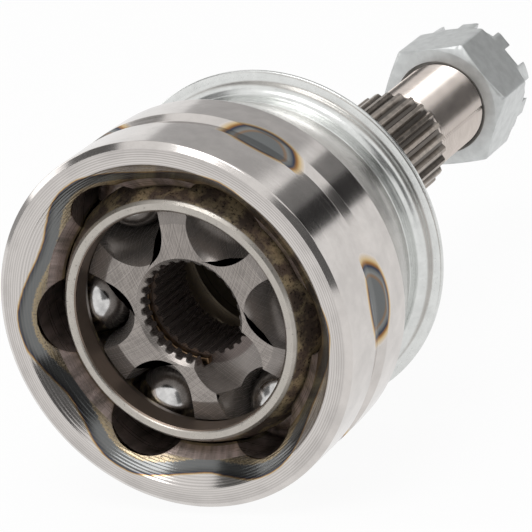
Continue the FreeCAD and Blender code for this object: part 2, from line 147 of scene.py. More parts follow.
class CVJOINT_PG_splines(bpy.types.PropertyGroup):
    """Sizes of both splines, the thread, the clip, the shield and the nut."""
    shaft_teeth: number("Shaft spline teeth", 28, "Teeth in the bore of the inner race")
    shaft_tip: length("Shaft spline tip radius", 11.3, "Tooth tips in the bore")
    shaft_root: length("Shaft spline root radius", 12.0, "Tooth roots in the bore")
    bore_bevel: length("Bore bevel", 0.7, "Radial width of the bore's bevel beyond the tooth roots")
    clip_groove: length("Clip groove radius", 13.95, "Groove that holds the clip")
    clip_groove_front: length("Clip groove front", 3.9, "Front wall of the groove, behind the front face")
    clip_groove_back: length("Clip groove back", 6.7, "Back wall of the groove, behind the front face")
    clip_band: length("Clip band", 1.5, "Radial width of the clip")
    clip_gap: angle("Clip half gap", 33.0, "From the pocket's middle to either end of the clip")
    pocket_radius: length("Pocket radius", 8.5, "Milled recess that lets pliers reach the clip")
    pocket_centre: length("Pocket centre radius", 13.2, "Distance of the recess's middle from the axis")
    pocket_azimuth: angle("Pocket azimuth", 303.0, "Direction of the recess's middle")
    stub_teeth: number("Stub spline teeth", 26, "Teeth on the wheel stub")
    stub_tip: length("Stub spline tip radius", 13.0, "Tooth tips on the stub")
    stub_root: length("Stub spline root radius", 11.9, "Tooth roots on the stub")
    stub_end: length("Stub spline end", 101.7285, "Height at which the spline ends")
    thread_radius: length("Thread radius", 11.0, "Crest of the hub thread")
    thread_pitch: length("Thread pitch", 1.0, "Pitch of the hub thread")
    collar: length("Shield collar", 2.9, "Straight length of the shield's collar")
    flare: length("Shield flare", 2.7, "Radius of the bend from collar to rim")
    sheet: length("Shield sheet", 1.2, "Thickness of the shield's sheet")
    dish: length("Shield dish", 0.7, "Rise of the shield's rim from flare to edge")
    nut_countersink: length("Nut countersink", 1.45, "Depth and width of the bore's 45 degree bevel")
    nut_corner: angle("Nut corner azimuth", 4.0, "Direction of one corner of the hexagon")
    nut_chamfer: angle("Nut chamfer", 30.0, "Slope of the chamfers at both ends of the hexagon")
    nut_flats: length("Nut half across flats", 15.0, "Half of the hexagon's width")
    nut_face_radius: length("Nut washer face radius", 14.75, "Flat washer face")
    crown_radius: length("Crown radius", 15.7, "Round crown that carries the slots")
    crown_height: length("Crown height", 5.2, "Length of the crown")
    slots: number("Crown slots", 10, "Slots round the crown")
    slot_azimuth: angle("Slot azimuth", 64.0, "Direction of one slot")
    slot_width: length("Slot width", 5.4, "Width of a crown slot")
    slot_depth: length("Slot depth", 3.9, "Depth of a crown slot")


class CVJOINT_PG_finishes(bpy.types.PropertyGroup):
    """Colours of the finishes."""
    turned_steel: colour("Turned steel", (0.64, 0.605, 0.58), "Fine-turned outside of the bell")
    tint_straw: colour("Tint straw", (0.58, 0.44, 0.25), "Palest heat tint, outermost")
    tint_brown: colour("Tint brown", (0.30, 0.15, 0.05), "Brown heat tint inside the straw")
    tint_blue: colour("Tint blue", (0.035, 0.045, 0.075), "Dark blue heat tint inside the brown")
    tint_slate: colour("Tint slate", (0.145, 0.15, 0.15), "Slate grey of the hottest steel")
    scale_gold: colour("Gold scale", (0.34, 0.27, 0.17), "Speckled scale beside the tracks")
    scale_dark: colour("Dark scale", (0.11, 0.088, 0.075), "Hardening scale inside the bell")
    track_brown: colour("Track brown", (0.30, 0.235, 0.215), "Streaks along the ball tracks")
    # The cage's dark colour is the sphere's own oiled colour and also the painted shade of the cage's entry
    # bore.
    cage_dark_and_bore_shade: colour("Cage sphere", (0.20, 0.155, 0.125), "Oiled hardened sphere of the cage")
    cage_sheen: colour("Cage sheen", (0.55, 0.45, 0.28), "Yellow sheen of the oil on the cage")
    cage_ground: colour("Cage face", (0.52, 0.485, 0.44), "Ground front ring of the cage")
    race_steel: colour("Inner race steel", (0.34, 0.308, 0.286), "Ground face of the inner race")
    # The inner race's bore colour is painted shade for the hollow bore, darker than the race's steel.
    race_bore_shade: colour("Inner race bore", (0.14, 0.115, 0.105), "Black oiled bore of the inner race")
    ball_steel: colour("Ball steel", (0.66, 0.65, 0.64), "Polished balls")
    clip_steel: colour("Clip steel", (0.20, 0.13, 0.075), "Tempered spring steel")
    spline_steel: colour("Stub spline steel", (0.45, 0.395, 0.345), "Rolled and hardened spline")
    thread_steel: colour("Stub thread steel", (0.70, 0.63, 0.58), "Bright rolled thread")
    shield_zinc: colour("Shield zinc", (0.74, 0.75, 0.735), "Pale zinc plate of the shield")
    nut_zinc: colour("Nut zinc", (0.66, 0.675, 0.67), "Pale zinc plate of the nut")


# ------------------------------------------------------------------------------ mesh helpers
def sizes(context, group):
    """Every length of a property group in millimetres, and its counts, angles and colours as they are."""
    values = getattr(context.scene, "cv_" + group)
    read = {}
    for key, kind in values.bl_rna.properties.items():
        if key in ("rna_type", "name"):
            continue
        value = getattr(values, key)
        read[key] = value / MM if kind.unit == "LENGTH" else value
    return SimpleNamespace(**read)


def polar(radius, azimuth, height):
    """Points round the stub axis: x is radius times cos azimuth, z is radius times sin azimuth."""
    radius, azimuth, height = np.broadcast_arrays(radius, azimuth, height)
    return np.stack([radius * np.cos(azimuth), height, radius * np.sin(azimuth)], axis=-1)


def piece_from_grids(name, grids, body, nodes, sharp=32.0):
    """One mesh from grids of points. Each grid is (points, rows close up, columns close up).

    A quad joins each point to the next in its row and column, and points that coincide are merged, which
    closes seams and poles.
    """
    corners, quads, first = [], [], 0
    for points, wrap_rows, wrap_columns in grids:
        rows, columns = points.shape[:2]
        index = first + np.arange(rows * columns).reshape(rows, columns)
        if wrap_rows:
            index = np.vstack([index, index[:1]])
        if wrap_columns:
            index = np.hstack([index, index[:, :1]])
        quad = np.stack([index[:-1, :-1], index[1:, :-1], index[1:, 1:], index[:-1, 1:]], axis=-1)
        quads.append(quad.reshape(-1, 4))
        corners.append(points.reshape(-1, 3))
        first += rows * columns
    corners = np.concatenate(corners) * MM
    quads = np.concatenate(quads)
    mesh = bpy.data.meshes.new(name)
    mesh.vertices.add(len(corners))
    mesh.vertices.foreach_set("co", corners.ravel())
    mesh.loops.add(quads.size)
    mesh.loops.foreach_set("vertex_index", quads.ravel().astype(np.int32))
    mesh.polygons.add(len(quads))
    mesh.polygons.foreach_set("loop_start", np.arange(0, quads.size, 4, dtype=np.int32))
    mesh.update(calc_edges=True)
    work = bmesh.new()
    work.from_mesh(mesh)
    bmesh.ops.remove_doubles(work, verts=work.verts, dist=1e-6)
    bmesh.ops.dissolve_degenerate(work, edges=work.edges, dist=1e-7)
    work.to_mesh(mesh)
    work.free()
    mesh.polygons.foreach_set("use_smooth", np.ones(len(mesh.polygons), dtype=bool))
    mesh.set_sharp_from_angle(angle=math.radians(sharp))
    piece = bpy.data.objects.new(name, mesh)
    bpy.context.scene.collection.objects.link(piece)
    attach(piece, body)
    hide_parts(*nodes)
    return piece


def outline(corners, step=15.0):
    """Outline through corner points (radius, height, fillet), as arrays of radius and height.

    A fillet is an arc tangent to both sides. It starts at fillet times the tangent of half the turn from the
    corner. Each straight side gets a point just inside both of its ends, so that shading stays on the fillet.
    """
    points = [np.array(c[:2], float) for c in corners]
    fillets = [c[2] if len(c) > 2 else 0.0 for c in corners]
    runs = []
    for i, point in enumerate(points):
        if i in (0, len(points) - 1) or fillets[i] == 0:
            runs.append(point[None])
            continue
        back = points[i - 1] - point
        ahead = points[i + 1] - point
        back_length, ahead_length = np.hypot(*back), np.hypot(*ahead)
        back, ahead = back / back_length, ahead / ahead_length
        turn = np.pi - np.arccos(np.clip(back @ ahead, -1, 1))
        reach = min(fillets[i] * np.tan(turn / 2), 0.8 * back_length, 0.8 * ahead_length)
        radius = reach / np.tan(turn / 2)
        centre = point + (back + ahead) / np.hypot(*(back + ahead)) * radius / np.cos(turn / 2)
        start, end = point + back * reach - centre, point + ahead * reach - centre
        count = max(2, int(np.ceil(np.degrees(turn) / step)))
        t = np.linspace(0, 1, count + 1)[:, None]
        arc = (np.sin((1 - t) * turn) * start + np.sin(t * turn) * end) / np.sin(turn)
        runs.append(centre + arc)
    path = [runs[0]]
    for before, after in zip(runs[:-1], runs[1:]):
        gap = after[0] - before[-1]
        distance = np.hypot(*gap)
        if distance > 0.2:
            inset = min(0.12, distance / 4) / distance
            path.append(before[-1] + gap * np.array([[inset], [1 - inset]]))
        path.append(after)
    path = np.concatenate(path)
    return path[:, 0], path[:, 1]


def smooth_max(a, b, width):
    """Larger of two values, with the corner between them rounded over about width.

    Half of their sum and of the root of their difference squared plus width squared.
    """
    return (a + b + np.sqrt((a - b) ** 2 + width ** 2)) / 2


def smooth_min(a, b, width):
    """Smaller of two values, rounded as smooth_max is: the root is taken off the sum."""
    return (a + b - np.sqrt((a - b) ** 2 + width ** 2)) / 2


# ------------------------------------------------------------------------------- track shapes
def track_radius(delta, height_from_centre, path, groove, side):
    """Radius at which a ray square to the axis leaves a round track, delta radians from the track's middle.

    The track is a torus about a point on the axis. With q the distance from that point in the axis's plane
    and t the tangent of delta, the wall is where (q - path)^2 + (q^2 - h^2) t^2 is the groove radius squared.
    side +1 gives the outer wall and -1 the inner one. Where the ray misses the track the result is NaN.
    """
    t2 = np.tan(delta) ** 2
    inside = path ** 2 - (1 + t2) * (path ** 2 - height_from_centre ** 2 * t2 - groove ** 2)
    q = (path + side * np.sqrt(np.where(inside < 0, np.nan, inside))) / (1 + t2)
    along = q ** 2 - height_from_centre ** 2
    return np.sqrt(np.where(along < 0, np.nan, along)) / np.cos(delta)


def track_half_angle(land, height_from_centre, path, groove):
    """Half angle of a track where it breaks out of a land of that radius, 0 where it doesn't reach the land.

    Its cosine is the radius at which the track's middle plane is crossed, over the land's radius.
    """
    q = (path ** 2 + land ** 2 + height_from_centre ** 2 - groove ** 2) / (2 * path)
    cosine = np.sqrt(np.clip(q ** 2 - height_from_centre ** 2, 0, None)) / land
    return np.arccos(np.clip(cosine, 0, 1))


def spread(count):
    """Values from 0 to 1, closer together towards both ends."""
    t = np.linspace(0, 1, count + 1)
    return t - 0.75 * np.sin(TURN * t) / TURN


def sector_azimuths(half_angle):
    """Column azimuths of rings, an array (rings, columns), with columns on both edges of every track."""
    half_angle = np.atleast_1d(half_angle)[:, None]
    pitch = TURN / SECTORS
    across = (2 * spread(TRACK_COLUMNS)[:-1] - 1)[None] * half_angle
    land = half_angle + spread(LAND_COLUMNS)[:-1][None] * (pitch - 2 * half_angle)
    sector = np.concatenate([across, land], axis=1)
    return np.concatenate([sector + k * pitch for k in range(SECTORS)], axis=1)


def from_track_middle(azimuth):
    """Angle from the middle of the nearest track."""
    pitch = TURN / SECTORS
    return (azimuth + pitch / 2) % pitch - pitch / 2


# --------------------------------------------------------------------------------- outer race
def cavity_radius(b, t, azimuth, height):
    """Wall of the bell's inside: the larger of cone or guide sphere and the ball tracks, edges eased."""
    cone = b.mouth_radius + b.mouth - height
    sphere = np.sqrt(np.clip(b.guide_radius ** 2 - height ** 2, 0, None))
    junction = cone_meets_guide(b)
    land = np.where(height < junction, cone, sphere)
    wall = track_radius(from_track_middle(azimuth), height + t.offset, t.path_radius, t.groove_radius, 1)
    return smooth_max(land, np.where(np.isnan(wall), 0, wall), 0.12)


def cone_meets_guide(b):
    """Height at which the 45 degree entry cone meets the guide sphere."""
    reach = b.mouth_radius + b.mouth
    return (reach - math.sqrt(2 * b.guide_radius ** 2 - reach ** 2)) / 2


def bell_rings(b, t):
    """Rings of the bell, from the middle of the cavity floor out through the mouth and back to the journal.

    Inside, a ring lies at one height and its radius is the cavity wall's. Outside, the turned outline is
    carried round the axis.
    """
    junction = cone_meets_guide(b)
    even = TURN / 2 / SECTORS * TRACK_COLUMNS / (TRACK_COLUMNS + LAND_COLUMNS)
    corner = b.floor - 2.0
    corner_radius = math.sqrt(b.guide_radius ** 2 - corner ** 2)
    floor_radius = [0.0, 8.0, corner_radius - 2.1, corner_radius - 1.9, corner_radius - 0.1, corner_radius]
    floor_height = [b.floor, b.floor, b.floor, b.floor - 0.1, corner + 0.1, corner]
    track_end = 22.3
    deep = np.concatenate([np.linspace(track_end, -4, 18), np.linspace(-5, junction + 0.05, 14)])
    reach = b.mouth_radius + b.mouth + t.offset
    outer = t.path_radius + t.groove_radius
    apex = (reach - math.sqrt(2 * outer ** 2 - reach ** 2)) / 2 - t.offset
    in_cone = junction - 0.05 - (junction - 0.05 - apex) * np.linspace(0, 1, 22) ** 0.7
    to_mouth = np.linspace(apex, b.mouth + 0.35, 12)[1:]
    heights = np.concatenate([deep, in_cone, to_mouth])
    land = np.where(
        heights < junction,
        b.mouth_radius + b.mouth - heights,
        np.sqrt(np.clip(b.guide_radius ** 2 - heights ** 2, 0, None)),
    )
    half = track_half_angle(land, heights + t.offset, t.path_radius, t.groove_radius)
    past = np.clip((apex - heights) / (apex - b.mouth), 0, 1)
    half = np.maximum(half, np.radians(0.6))
    half = np.where(heights <= apex, np.radians(0.6) + (even - np.radians(0.6)) * np.sqrt(past), half)
    azimuth = sector_azimuths(half)
    wall = cavity_radius(b, t, azimuth, heights[:, None])

    even_row = sector_azimuths(np.array([even]))
    first_row = azimuth[:1]
    floor = polar(
        np.array(floor_radius)[:, None], np.repeat(first_row, 6, axis=0), np.array(floor_height)[:, None])
    inside = polar(wall, azimuth, heights[:, None])

    groove_floor = b.radius - b.groove_depth
    outside_radius, outside_height = outline([
        (b.mouth_radius - 0.35, b.mouth + 0.35),
        (b.mouth_radius, b.mouth, 0.25),
        (b.radius - b.mouth_bevel, b.mouth, 0.5),
        (b.radius, b.mouth + b.mouth_bevel_depth, 0.5),
        (b.radius, b.groove_front, 0.12),
        (groove_floor, b.groove_front + b.groove_lead, 0.3),
        (groove_floor, b.groove_back - b.groove_flank, 0.5),
        (b.radius, b.groove_back, 0.12),
        (b.radius, b.cylinder_end - 3.4, 0.06),
        (b.radius - 0.12, b.cylinder_end - 3.3, 0.06),
        (b.radius - 0.12, b.cylinder_end, 0.6),
        (b.shoulder_radius, b.shoulder_end, 0.2),
        (b.seat_radius, b.shoulder_end, 0.2),
        (b.seat_radius, b.hub_face - b.hub_bevel, 0.2),
        (b.seat_radius - b.hub_bevel, b.hub_face, 0.2),
        (b.journal_radius, b.hub_face, 2.0),
        (b.journal_radius, b.journal_end - 1.3, 0.2),
        (13.0, b.journal_end, 0.2),
        (0.0, b.journal_end),
    ])
    outside = polar(outside_radius[1:, None], even_row, outside_height[1:, None])
    return np.concatenate([floor, inside, outside])


class CVJOINT_OT_bell(bpy.types.Operator):
    """Bell of the outer race: entry cone, ball tracks, boot groove, shoulder and hub face"""
    bl_idname = "cvjoint.bell"
    bl_label = "Bell"

    def execute(self, context):
        rings = bell_rings(sizes(context, "bell"), sizes(context, "tracks"))
        bell = piece_from_grids(
            "bell", [(rings, False, True)], "outer_race", ["outer_race"], 40.0)
        bell.data.materials.append(finish(context, "bell"))
        return {"FINISHED"}


def tooth_profile(azimuth, teeth, tip, root, tip_share, root_share):
    """Radius round a straight-flanked spline. A space is centred on azimuth 0, a tooth half a pitch on.

    Over one pitch the radius stays at root, climbs a flank in a straight line and stays at tip.
    """
    phase = np.abs((azimuth * teeth / TURN + 0.5) % 1 - 0.5) * 2
    climb = np.clip((phase - root_share) / (tip_share - root_share), 0, 1)
    return root + (tip - root) * climb


def tooth_columns(teeth, root_share, tip_share, first=0.0):
    """Column azimuths of a spline ring, with columns on every corner of a tooth space."""
    half = np.array([
        0, root_share * 0.8, root_share - 0.02, root_share + 0.04, (root_share + tip_share) / 2,
        tip_share - 0.04, tip_share + 0.02, 1 - (1 - tip_share) * 0.5,
    ]) / 2
    one = np.concatenate([half, [0.5], 1 - half[:0:-1]])
    return (first + np.add.outer(np.arange(teeth), one).ravel() * TURN / teeth)[None]


class CVJOINT_OT_stub_spline(bpy.types.Operator):
    """Wheel spline of the stub, with the hob's slope at the journal and a bevel at the thread"""
    bl_idname = "cvjoint.stub_spline"
    bl_label = "Stub spline"

    def execute(self, context):
        b, s = sizes(context, "bell"), sizes(context, "splines")
        start, end = b.journal_end, s.stub_end
        azimuth = tooth_columns(s.stub_teeth, 0.32, 0.72)
        heights = np.concatenate([
            [start - 1.5], np.linspace(start, start + 4.2, 9), np.linspace(start + 5, end - 2.2, 12),
            np.linspace(end - 1.9, end, 12), [end],
        ])[:, None]
        teeth = tooth_profile(azimuth, s.stub_teeth, s.stub_tip, s.stub_root, 0.72, 0.32)
        slope = s.stub_tip - (heights - start) / 4.0 * (s.stub_tip - s.stub_root)
        radius = np.minimum(np.maximum(teeth, slope), s.stub_tip)
        bevel = s.stub_tip - (heights - (end - 1.3)) * (s.stub_tip - 10.3) / 1.3
        radius = smooth_min(radius, bevel, 0.12)
        radius[-1] = 0
        radius[0] = s.stub_root
        rings = polar(radius, azimuth, heights)
        centre = polar(np.zeros_like(azimuth), azimuth, np.full_like(azimuth, start - 1.5))
        rings = np.concatenate([centre, rings])
        spline = piece_from_grids(
            "stub_spline", [(rings, False, True)], "outer_race", ["outer_race"], 34.0)
        spline.data.materials.append(finish(context, "stub_spline"))
        return {"FINISHED"}


def thread_rows(s, low, high, columns, steps=8):
    """Azimuths and heights of rows that follow the thread's helix between two heights.

    A row rises by one pitch round the axis. It is held at both ends, and the helix is counted from the
    thread's end, so that stub and nut are in mesh.
    """
    pitch = s.thread_pitch
    first = int(math.floor((low - RACE_HIGH[1]) / pitch)) - 1
    last = int(math.ceil((high - RACE_HIGH[1]) / pitch)) + 1
    share = np.arange(first * steps, last * steps + 1)[:, None] / steps
    height = RACE_HIGH[1] + pitch * (share + columns / TURN)
    return columns + 0 * height, np.clip(height, low, high)


def thread_ridge(s, azimuth, height):
    """Share of the ridge, 0 at the root and 1 at the crest, with straight flanks, round the helix."""
    place = ((height - RACE_HIGH[1]) / s.thread_pitch - azimuth / TURN) % 1
    return np.clip(np.minimum(place, 1 - place) * 2.5 - 0.14, 0, 1)


class CVJOINT_OT_stub_thread(bpy.types.Operator):
    """Hub thread of the stub: plain neck after the spline, then the ridge on a helix"""
    bl_idname = "cvjoint.stub_thread"
    bl_label = "Stub thread"

    def execute(self, context):
        s = sizes(context, "splines")
        start, end = s.stub_end - 1.0, RACE_HIGH[1]
        root = s.thread_radius - s.thread_pitch * STUB_THREAD_DEPTH
        neck, neck_length, run_in = s.thread_radius, 2.0, 1.5
        bevel, bevel_run = 1.2, 0.9
        columns = np.linspace(0, TURN, 72, endpoint=False)[None]
        azimuth, height = thread_rows(s, start + neck_length, end - bevel, columns)
        grow = np.clip((height - start - neck_length) / run_in, 0, 1)
        radius = root + (s.thread_radius - root) * thread_ridge(s, azimuth, height)
        radius = neck * (1 - grow) + radius * grow
        radius = np.minimum(radius, root + np.clip((end - bevel - height) / bevel_run, 0, 1) * 2)
        neck_rows = polar(np.array([0.0, neck, neck, neck])[:, None], azimuth[:4],
                          np.array([start, start, start + 0.3, start + neck_length - 0.1])[:, None])
        tip = polar(np.array([root - 0.1, root - 1.2, 0.0])[:, None], azimuth[:3],
                    np.array([end - 1.1, end, end])[:, None])
        rings = np.concatenate([neck_rows, polar(radius, azimuth, height), tip])
        thread = piece_from_grids(
            "stub_thread", [(rings, False, True)], "outer_race", ["outer_race"], 30.0)
        thread.data.materials.append(finish(context, "stub_thread"))
        return {"FINISHED"}


# --------------------------------------------------------------------------------------- cage
def window_outline(half_length, half_width, corner, count):
    """Rounded window as two arrays, along the cage's circle and along the axis, count points on each side.

    Each side runs from the middle of one rounded corner to the middle of the next, anticlockwise from the
    corner at +length, -width.
    """
    t = np.linspace(0, 1, count + 1)[:-1]
    sides = []
    for turn in range(4):
        length, width = (half_length, half_width) if turn % 2 == 0 else (half_width, half_length)
        straight = width - corner
        arc = corner * np.pi / 4
        total = 2 * arc + 2 * straight
        walk = t * total
        start_angle = -np.pi / 4 + walk / corner
        end_angle = (walk - arc - 2 * straight) / corner
        in_start, in_side = walk < arc, walk < arc + 2 * straight
        x = np.where(in_side, length, length - corner + corner * np.cos(end_angle))
        x = np.where(in_start, length - corner + corner * np.cos(start_angle), x)
        y = np.where(in_side, -straight + walk - arc, straight + corner * np.sin(end_angle))
        y = np.where(in_start, -straight + corner * np.sin(start_angle), y)
        for _ in range(turn):
            x, y = -y, x
        sides.append((x, y))
    return np.concatenate([s[0] for s in sides]), np.concatenate([s[1] for s in sides])


def cage_grids(t):
    """Grids of the cage: for each window a net from its edge to its sector's edge, on both spheres.

    A net's inner row is the window outline on the sphere, its outer row the sector's border, and the rows
    between lie evenly in azimuth and height. Walls join the two spheres and turned rings close both ends.
    """
    outer, inner = t.cage_radius, t.cage_radius - t.cage_wall
    low, high = CAGE_LOW[1], CAGE_HIGH[1]
    edge, ease = 0.6, 0.22
    side = 20
    entry = -math.sqrt(inner ** 2 - t.cage_mouth ** 2)
    pitch = TURN / SECTORS
    u = np.linspace(-1, 1, side + 1)[:-1]

    def border(front, rear):
        """Sector's border as azimuths and heights, in step with the window's outline."""
        edge_azimuth = np.full(side, pitch / 2)
        azimuth = np.concatenate([edge_azimuth, -u * pitch / 2, -edge_azimuth, u * pitch / 2])
        middle, half = (front + rear) / 2, (rear - front) / 2
        height = np.concatenate([
            middle + u * half, np.full(side, rear), middle - u * half, np.full(side, front),
        ])
        return azimuth, height

    def net(radius, grow, front, rear, rows):
        """Net on a sphere from the window's outline, grown on every side, to the sector's border."""
        along, height = window_outline(
            t.window_half_length + grow, t.window_half_width + grow, t.window_corner + grow, side)
        ring = np.sqrt(radius ** 2 - height ** 2)
        hole = np.arcsin(along / ring), height
        edge_azimuth, edge_height = border(front, rear)
        w = np.linspace(0, 1, rows)[:, None] ** 1.25
        azimuth = hole[0] + (edge_azimuth - hole[0]) * w
        heights = hole[1] + (edge_height - hole[1]) * w
        return polar(np.sqrt(radius ** 2 - heights ** 2), azimuth, heights)

    outer_net = net(outer, ease, low + edge, high - edge, 8)
    inner_net = net(inner, ease, entry, high - edge, 8)
    along, height = window_outline(t.window_half_length, t.window_half_width, t.window_corner, side)
    x_out = np.sqrt(outer ** 2 - height ** 2 - along ** 2) - ease
    x_in = np.sqrt(inner ** 2 - height ** 2 - along ** 2) + ease
    share = np.array([0, 0.06, 0.5, 0.94, 1])[:, None]
    wall = np.stack(np.broadcast_arrays(x_in + (x_out - x_in) * share, height, along), axis=-1)
    sector = np.concatenate([inner_net[::-1], wall, outer_net])[::-1]
    grids = []
    for k in range(SECTORS):
        c, s = math.cos(k * pitch), math.sin(k * pitch)
        turned = np.stack([sector[..., 0] * c - sector[..., 2] * s, sector[..., 1],
                           sector[..., 0] * s + sector[..., 2] * c], axis=-1)
        grids.append((turned, False, True))
    azimuth = np.concatenate([u * pitch / 2 + k * pitch for k in range(SECTORS)])[None]

    def on(radius, height):
        return math.sqrt(radius ** 2 - height ** 2)

    front_radius, front_height = outline([
        (t.cage_mouth, entry), (t.cage_mouth, low + edge, 0.15), (t.cage_mouth + edge, low, 0.15),
        (on(outer, low) - edge / 2, low, 0.15), (on(outer, low + edge), low + edge),
    ])
    rear_radius, rear_height = outline([
        (on(outer, high - edge), high - edge), (on(outer, high) - edge / 2, high, 0.15),
        (on(inner, high) + edge / 2, high, 0.15), (on(inner, high - edge), high - edge),
    ])
    grids.append((polar(front_radius[:, None], azimuth, front_height[:, None]), False, True))
    grids.append((polar(rear_radius[:, None], azimuth, rear_height[:, None]), False, True))
    return grids


class CVJOINT_OT_cage(bpy.types.Operator):
    """Ball cage: two spheres, six rounded windows with eased edges and ground end rings"""
    bl_idname = "cvjoint.cage"
    bl_label = "Cage"

    def execute(self, context):
        cage = piece_from_grids(
            "ball_cage", cage_grids(sizes(context, "tracks")), "cage", ["cage"], 40.0)
        cage.data.materials.append(finish(context, "cage"))
        return {"FINISHED"}


# --------------------------------------------------------------------------------- inner race
def inner_race_rings(t, s):
    """Closed rings of the inner race: outside from front to rear, rear face, splined bore, front face.

    Outside, the radius is the smaller of land and ball track with the edge between them eased. In the bore it
    is the larger of spline, clip groove and end bevel.
    """
    half = t.race_half
    cone_at = half - t.race_cone
    bevel_radius = s.shaft_root + s.bore_bevel
    groove_start, groove_end = s.clip_groove_front - half, s.clip_groove_back - half
    heights = np.concatenate([
        [-half], -half + np.array([0.12, 0.5, 0.9]), np.linspace(-cone_at, cone_at, 34),
        half - np.array([0.9, 0.5, 0.12]), [half],
    ])
    sphere = np.sqrt(t.race_radius ** 2 - np.clip(np.abs(heights), 0, cone_at) ** 2)
    cone = t.race_face + (sphere - t.race_face) * np.clip((half - np.abs(heights)) / t.race_cone, 0, 1)
    land = np.where(np.abs(heights) > cone_at, cone, np.sqrt(t.race_radius ** 2 - heights ** 2))
    h = heights - t.offset
    half_angle = track_half_angle(land, h, t.path_radius, t.groove_radius)
    azimuth = sector_azimuths(half_angle)
    wall = track_radius(from_track_middle(azimuth), h[:, None], t.path_radius, t.groove_radius, -1)
    radius = smooth_min(land[:, None], np.where(np.isnan(wall), 1e3, wall), 0.12)
    outside = polar(radius, azimuth, heights[:, None])

    one = np.array([0, 0.175, 0.20, 0.28, 0.345, 0.38, 0.5, 0.62, 0.655, 0.72, 0.80, 0.825])
    bore_azimuth = np.add.outer(np.arange(s.shaft_teeth), one).ravel()[None] * TURN / s.shaft_teeth
    phase = np.abs((bore_azimuth * s.shaft_teeth / TURN + 0.5) % 1 - 0.5) * 2
    climb = np.clip((phase - 0.38) / (0.72 - 0.38), 0, 1)
    teeth = s.shaft_root - (s.shaft_root - s.shaft_tip) * climb
    from_end = np.array([0, 0.1, 0.4, 0.65, 0.75, 1.0, 1.3, 1.5])
    bore_heights = np.concatenate([
        half - from_end, [half - 4, 0.0, groove_end + 0.15, groove_end, groove_end],
        [groove_start, groove_start, groove_start - 0.15, 1.9 - half], from_end[:0:-1] - half, [-half],
    ])[:, None]
    bevel = bevel_radius - (half - np.abs(bore_heights))
    bore = smooth_max(teeth, bevel, 0.05)
    bore[12:14] = s.clip_groove
    inside = polar(bore, bore_azimuth, bore_heights)

    def face(outer_row, inner_row):
        """Flat rings between two rows, at even shares of the radius and azimuth from one to the other."""
        share = np.array([0.04, 0.35, 0.65, 0.96])[:, None]
        r0, a0 = np.hypot(outer_row[:, 0], outer_row[:, 2]), azimuth_of(outer_row)
        r1, a1 = np.hypot(inner_row[:, 0], inner_row[:, 2]), azimuth_of(inner_row)
        a1 = a0 + (a1 - a0 + np.pi) % TURN - np.pi
        return polar(r0 + (r1 - r0) * share, a0 + (a1 - a0) * share, outer_row[0, 1])

    rear = face(outside[-1], inside[0])
    front = face(inside[-1], outside[0])
    return np.concatenate([outside, rear, inside, front])


def azimuth_of(points):
    """Azimuth of points, the angle whose tangent is z over x."""
    return np.arctan2(points[:, 2], points[:, 0])


def cut_cylinder(piece, centre, radius, start, end):
    """Takes a round recess along the stub axis out of a piece, from a cylinder with finely stepped sides."""
    t = np.linspace(0, TURN, 96, endpoint=False)
    rows = []
    for r, h in ((0, start), (radius, start), (radius, end), (0, end)):
        x, z = centre[0] + r * np.cos(t), centre[1] + r * np.sin(t)
        rows.append(np.stack([x, np.full_like(t, h), z], axis=-1))
    cutter = loose_piece("pocket_cutter", np.stack(rows))
    cut = piece.modifiers.new("pocket", "BOOLEAN")
    cut.operation = "DIFFERENCE"
    cut.solver = "MANIFOLD"
    cut.object = cutter
    bpy.context.view_layer.update()
    evaluated = piece.evaluated_get(bpy.context.evaluated_depsgraph_get())
    mesh = bpy.data.meshes.new_from_object(evaluated)
    piece.modifiers.clear()
    piece.data = mesh
    bpy.data.objects.remove(cutter)
    return piece


def loose_piece(name, rings):
    """A closed helper mesh of turned rings, not part of the object."""
    rows, columns = rings.shape[:2]
    index = np.arange(rows * columns).reshape(rows, columns)
    index = np.hstack([index, index[:, :1]])
    quads = np.stack([index[:-1, :-1], index[1:, :-1], index[1:, 1:], index[:-1, 1:]], axis=-1).reshape(-1, 4)
    mesh = bpy.data.meshes.new(name)
    mesh.from_pydata((rings.reshape(-1, 3) * MM).tolist(), [], quads.tolist())
    work = bmesh.new()
    work.from_mesh(mesh)
    bmesh.ops.remove_doubles(work, verts=work.verts, dist=1e-6)
    bmesh.ops.recalc_face_normals(work, faces=work.faces)
    work.to_mesh(mesh)
    work.free()
    helper = bpy.data.objects.new(name, mesh)
    bpy.context.scene.collection.objects.link(helper)
    return helper


class CVJOINT_OT_inner_race(bpy.types.Operator):
    """Inner race: lands, ball tracks, splined bore with the clip's groove, and the pliers' pocket"""
    bl_idname = "cvjoint.inner_race"
    bl_label = "Inner race"

    def execute(self, context):
        t, s = sizes(context, "tracks"), sizes(context, "splines")
        race = piece_from_grids(
            "inner_race_body", [(inner_race_rings(t, s), True, True)], "inner_race", ["inner_race"],
            34.0)
        centre = [s.pocket_centre * way(s.pocket_azimuth) for way in (math.cos, math.sin)]
        cut_cylinder(race, centre, s.pocket_radius, -t.race_half - 1, s.clip_groove_back - t.race_half)
        race.data.polygons.foreach_set("use_smooth", np.ones(len(race.data.polygons), dtype=bool))
        race.data.set_sharp_from_angle(angle=math.radians(34))
        race.data.materials.clear()
        race.data.materials.append(finish(context, "inner_race"))
        return {"FINISHED"}


# -------------------------------------------------------------------------------------- balls
def ball_grids(centre, radius, count=20):
    """Six square nets of a cube pushed out to a ball: each net point becomes a direction of length radius."""
    t = np.tan(np.linspace(-np.pi / 4, np.pi / 4, count + 1))
    u, v = np.meshgrid(t, t, indexing="ij")
    one = np.ones_like(u)
    nets = [(one, u, v), (-one, v, u), (v, one, u), (u, -one, v), (u, v, one), (v, u, -one)]
    grids = []
    for x, y, z in nets:
        direction = np.stack([x, y, z], axis=-1)
        direction = direction / np.linalg.norm(direction, axis=-1, keepdims=True)
        grids.append((centre + radius * direction, False, False))
    return grids


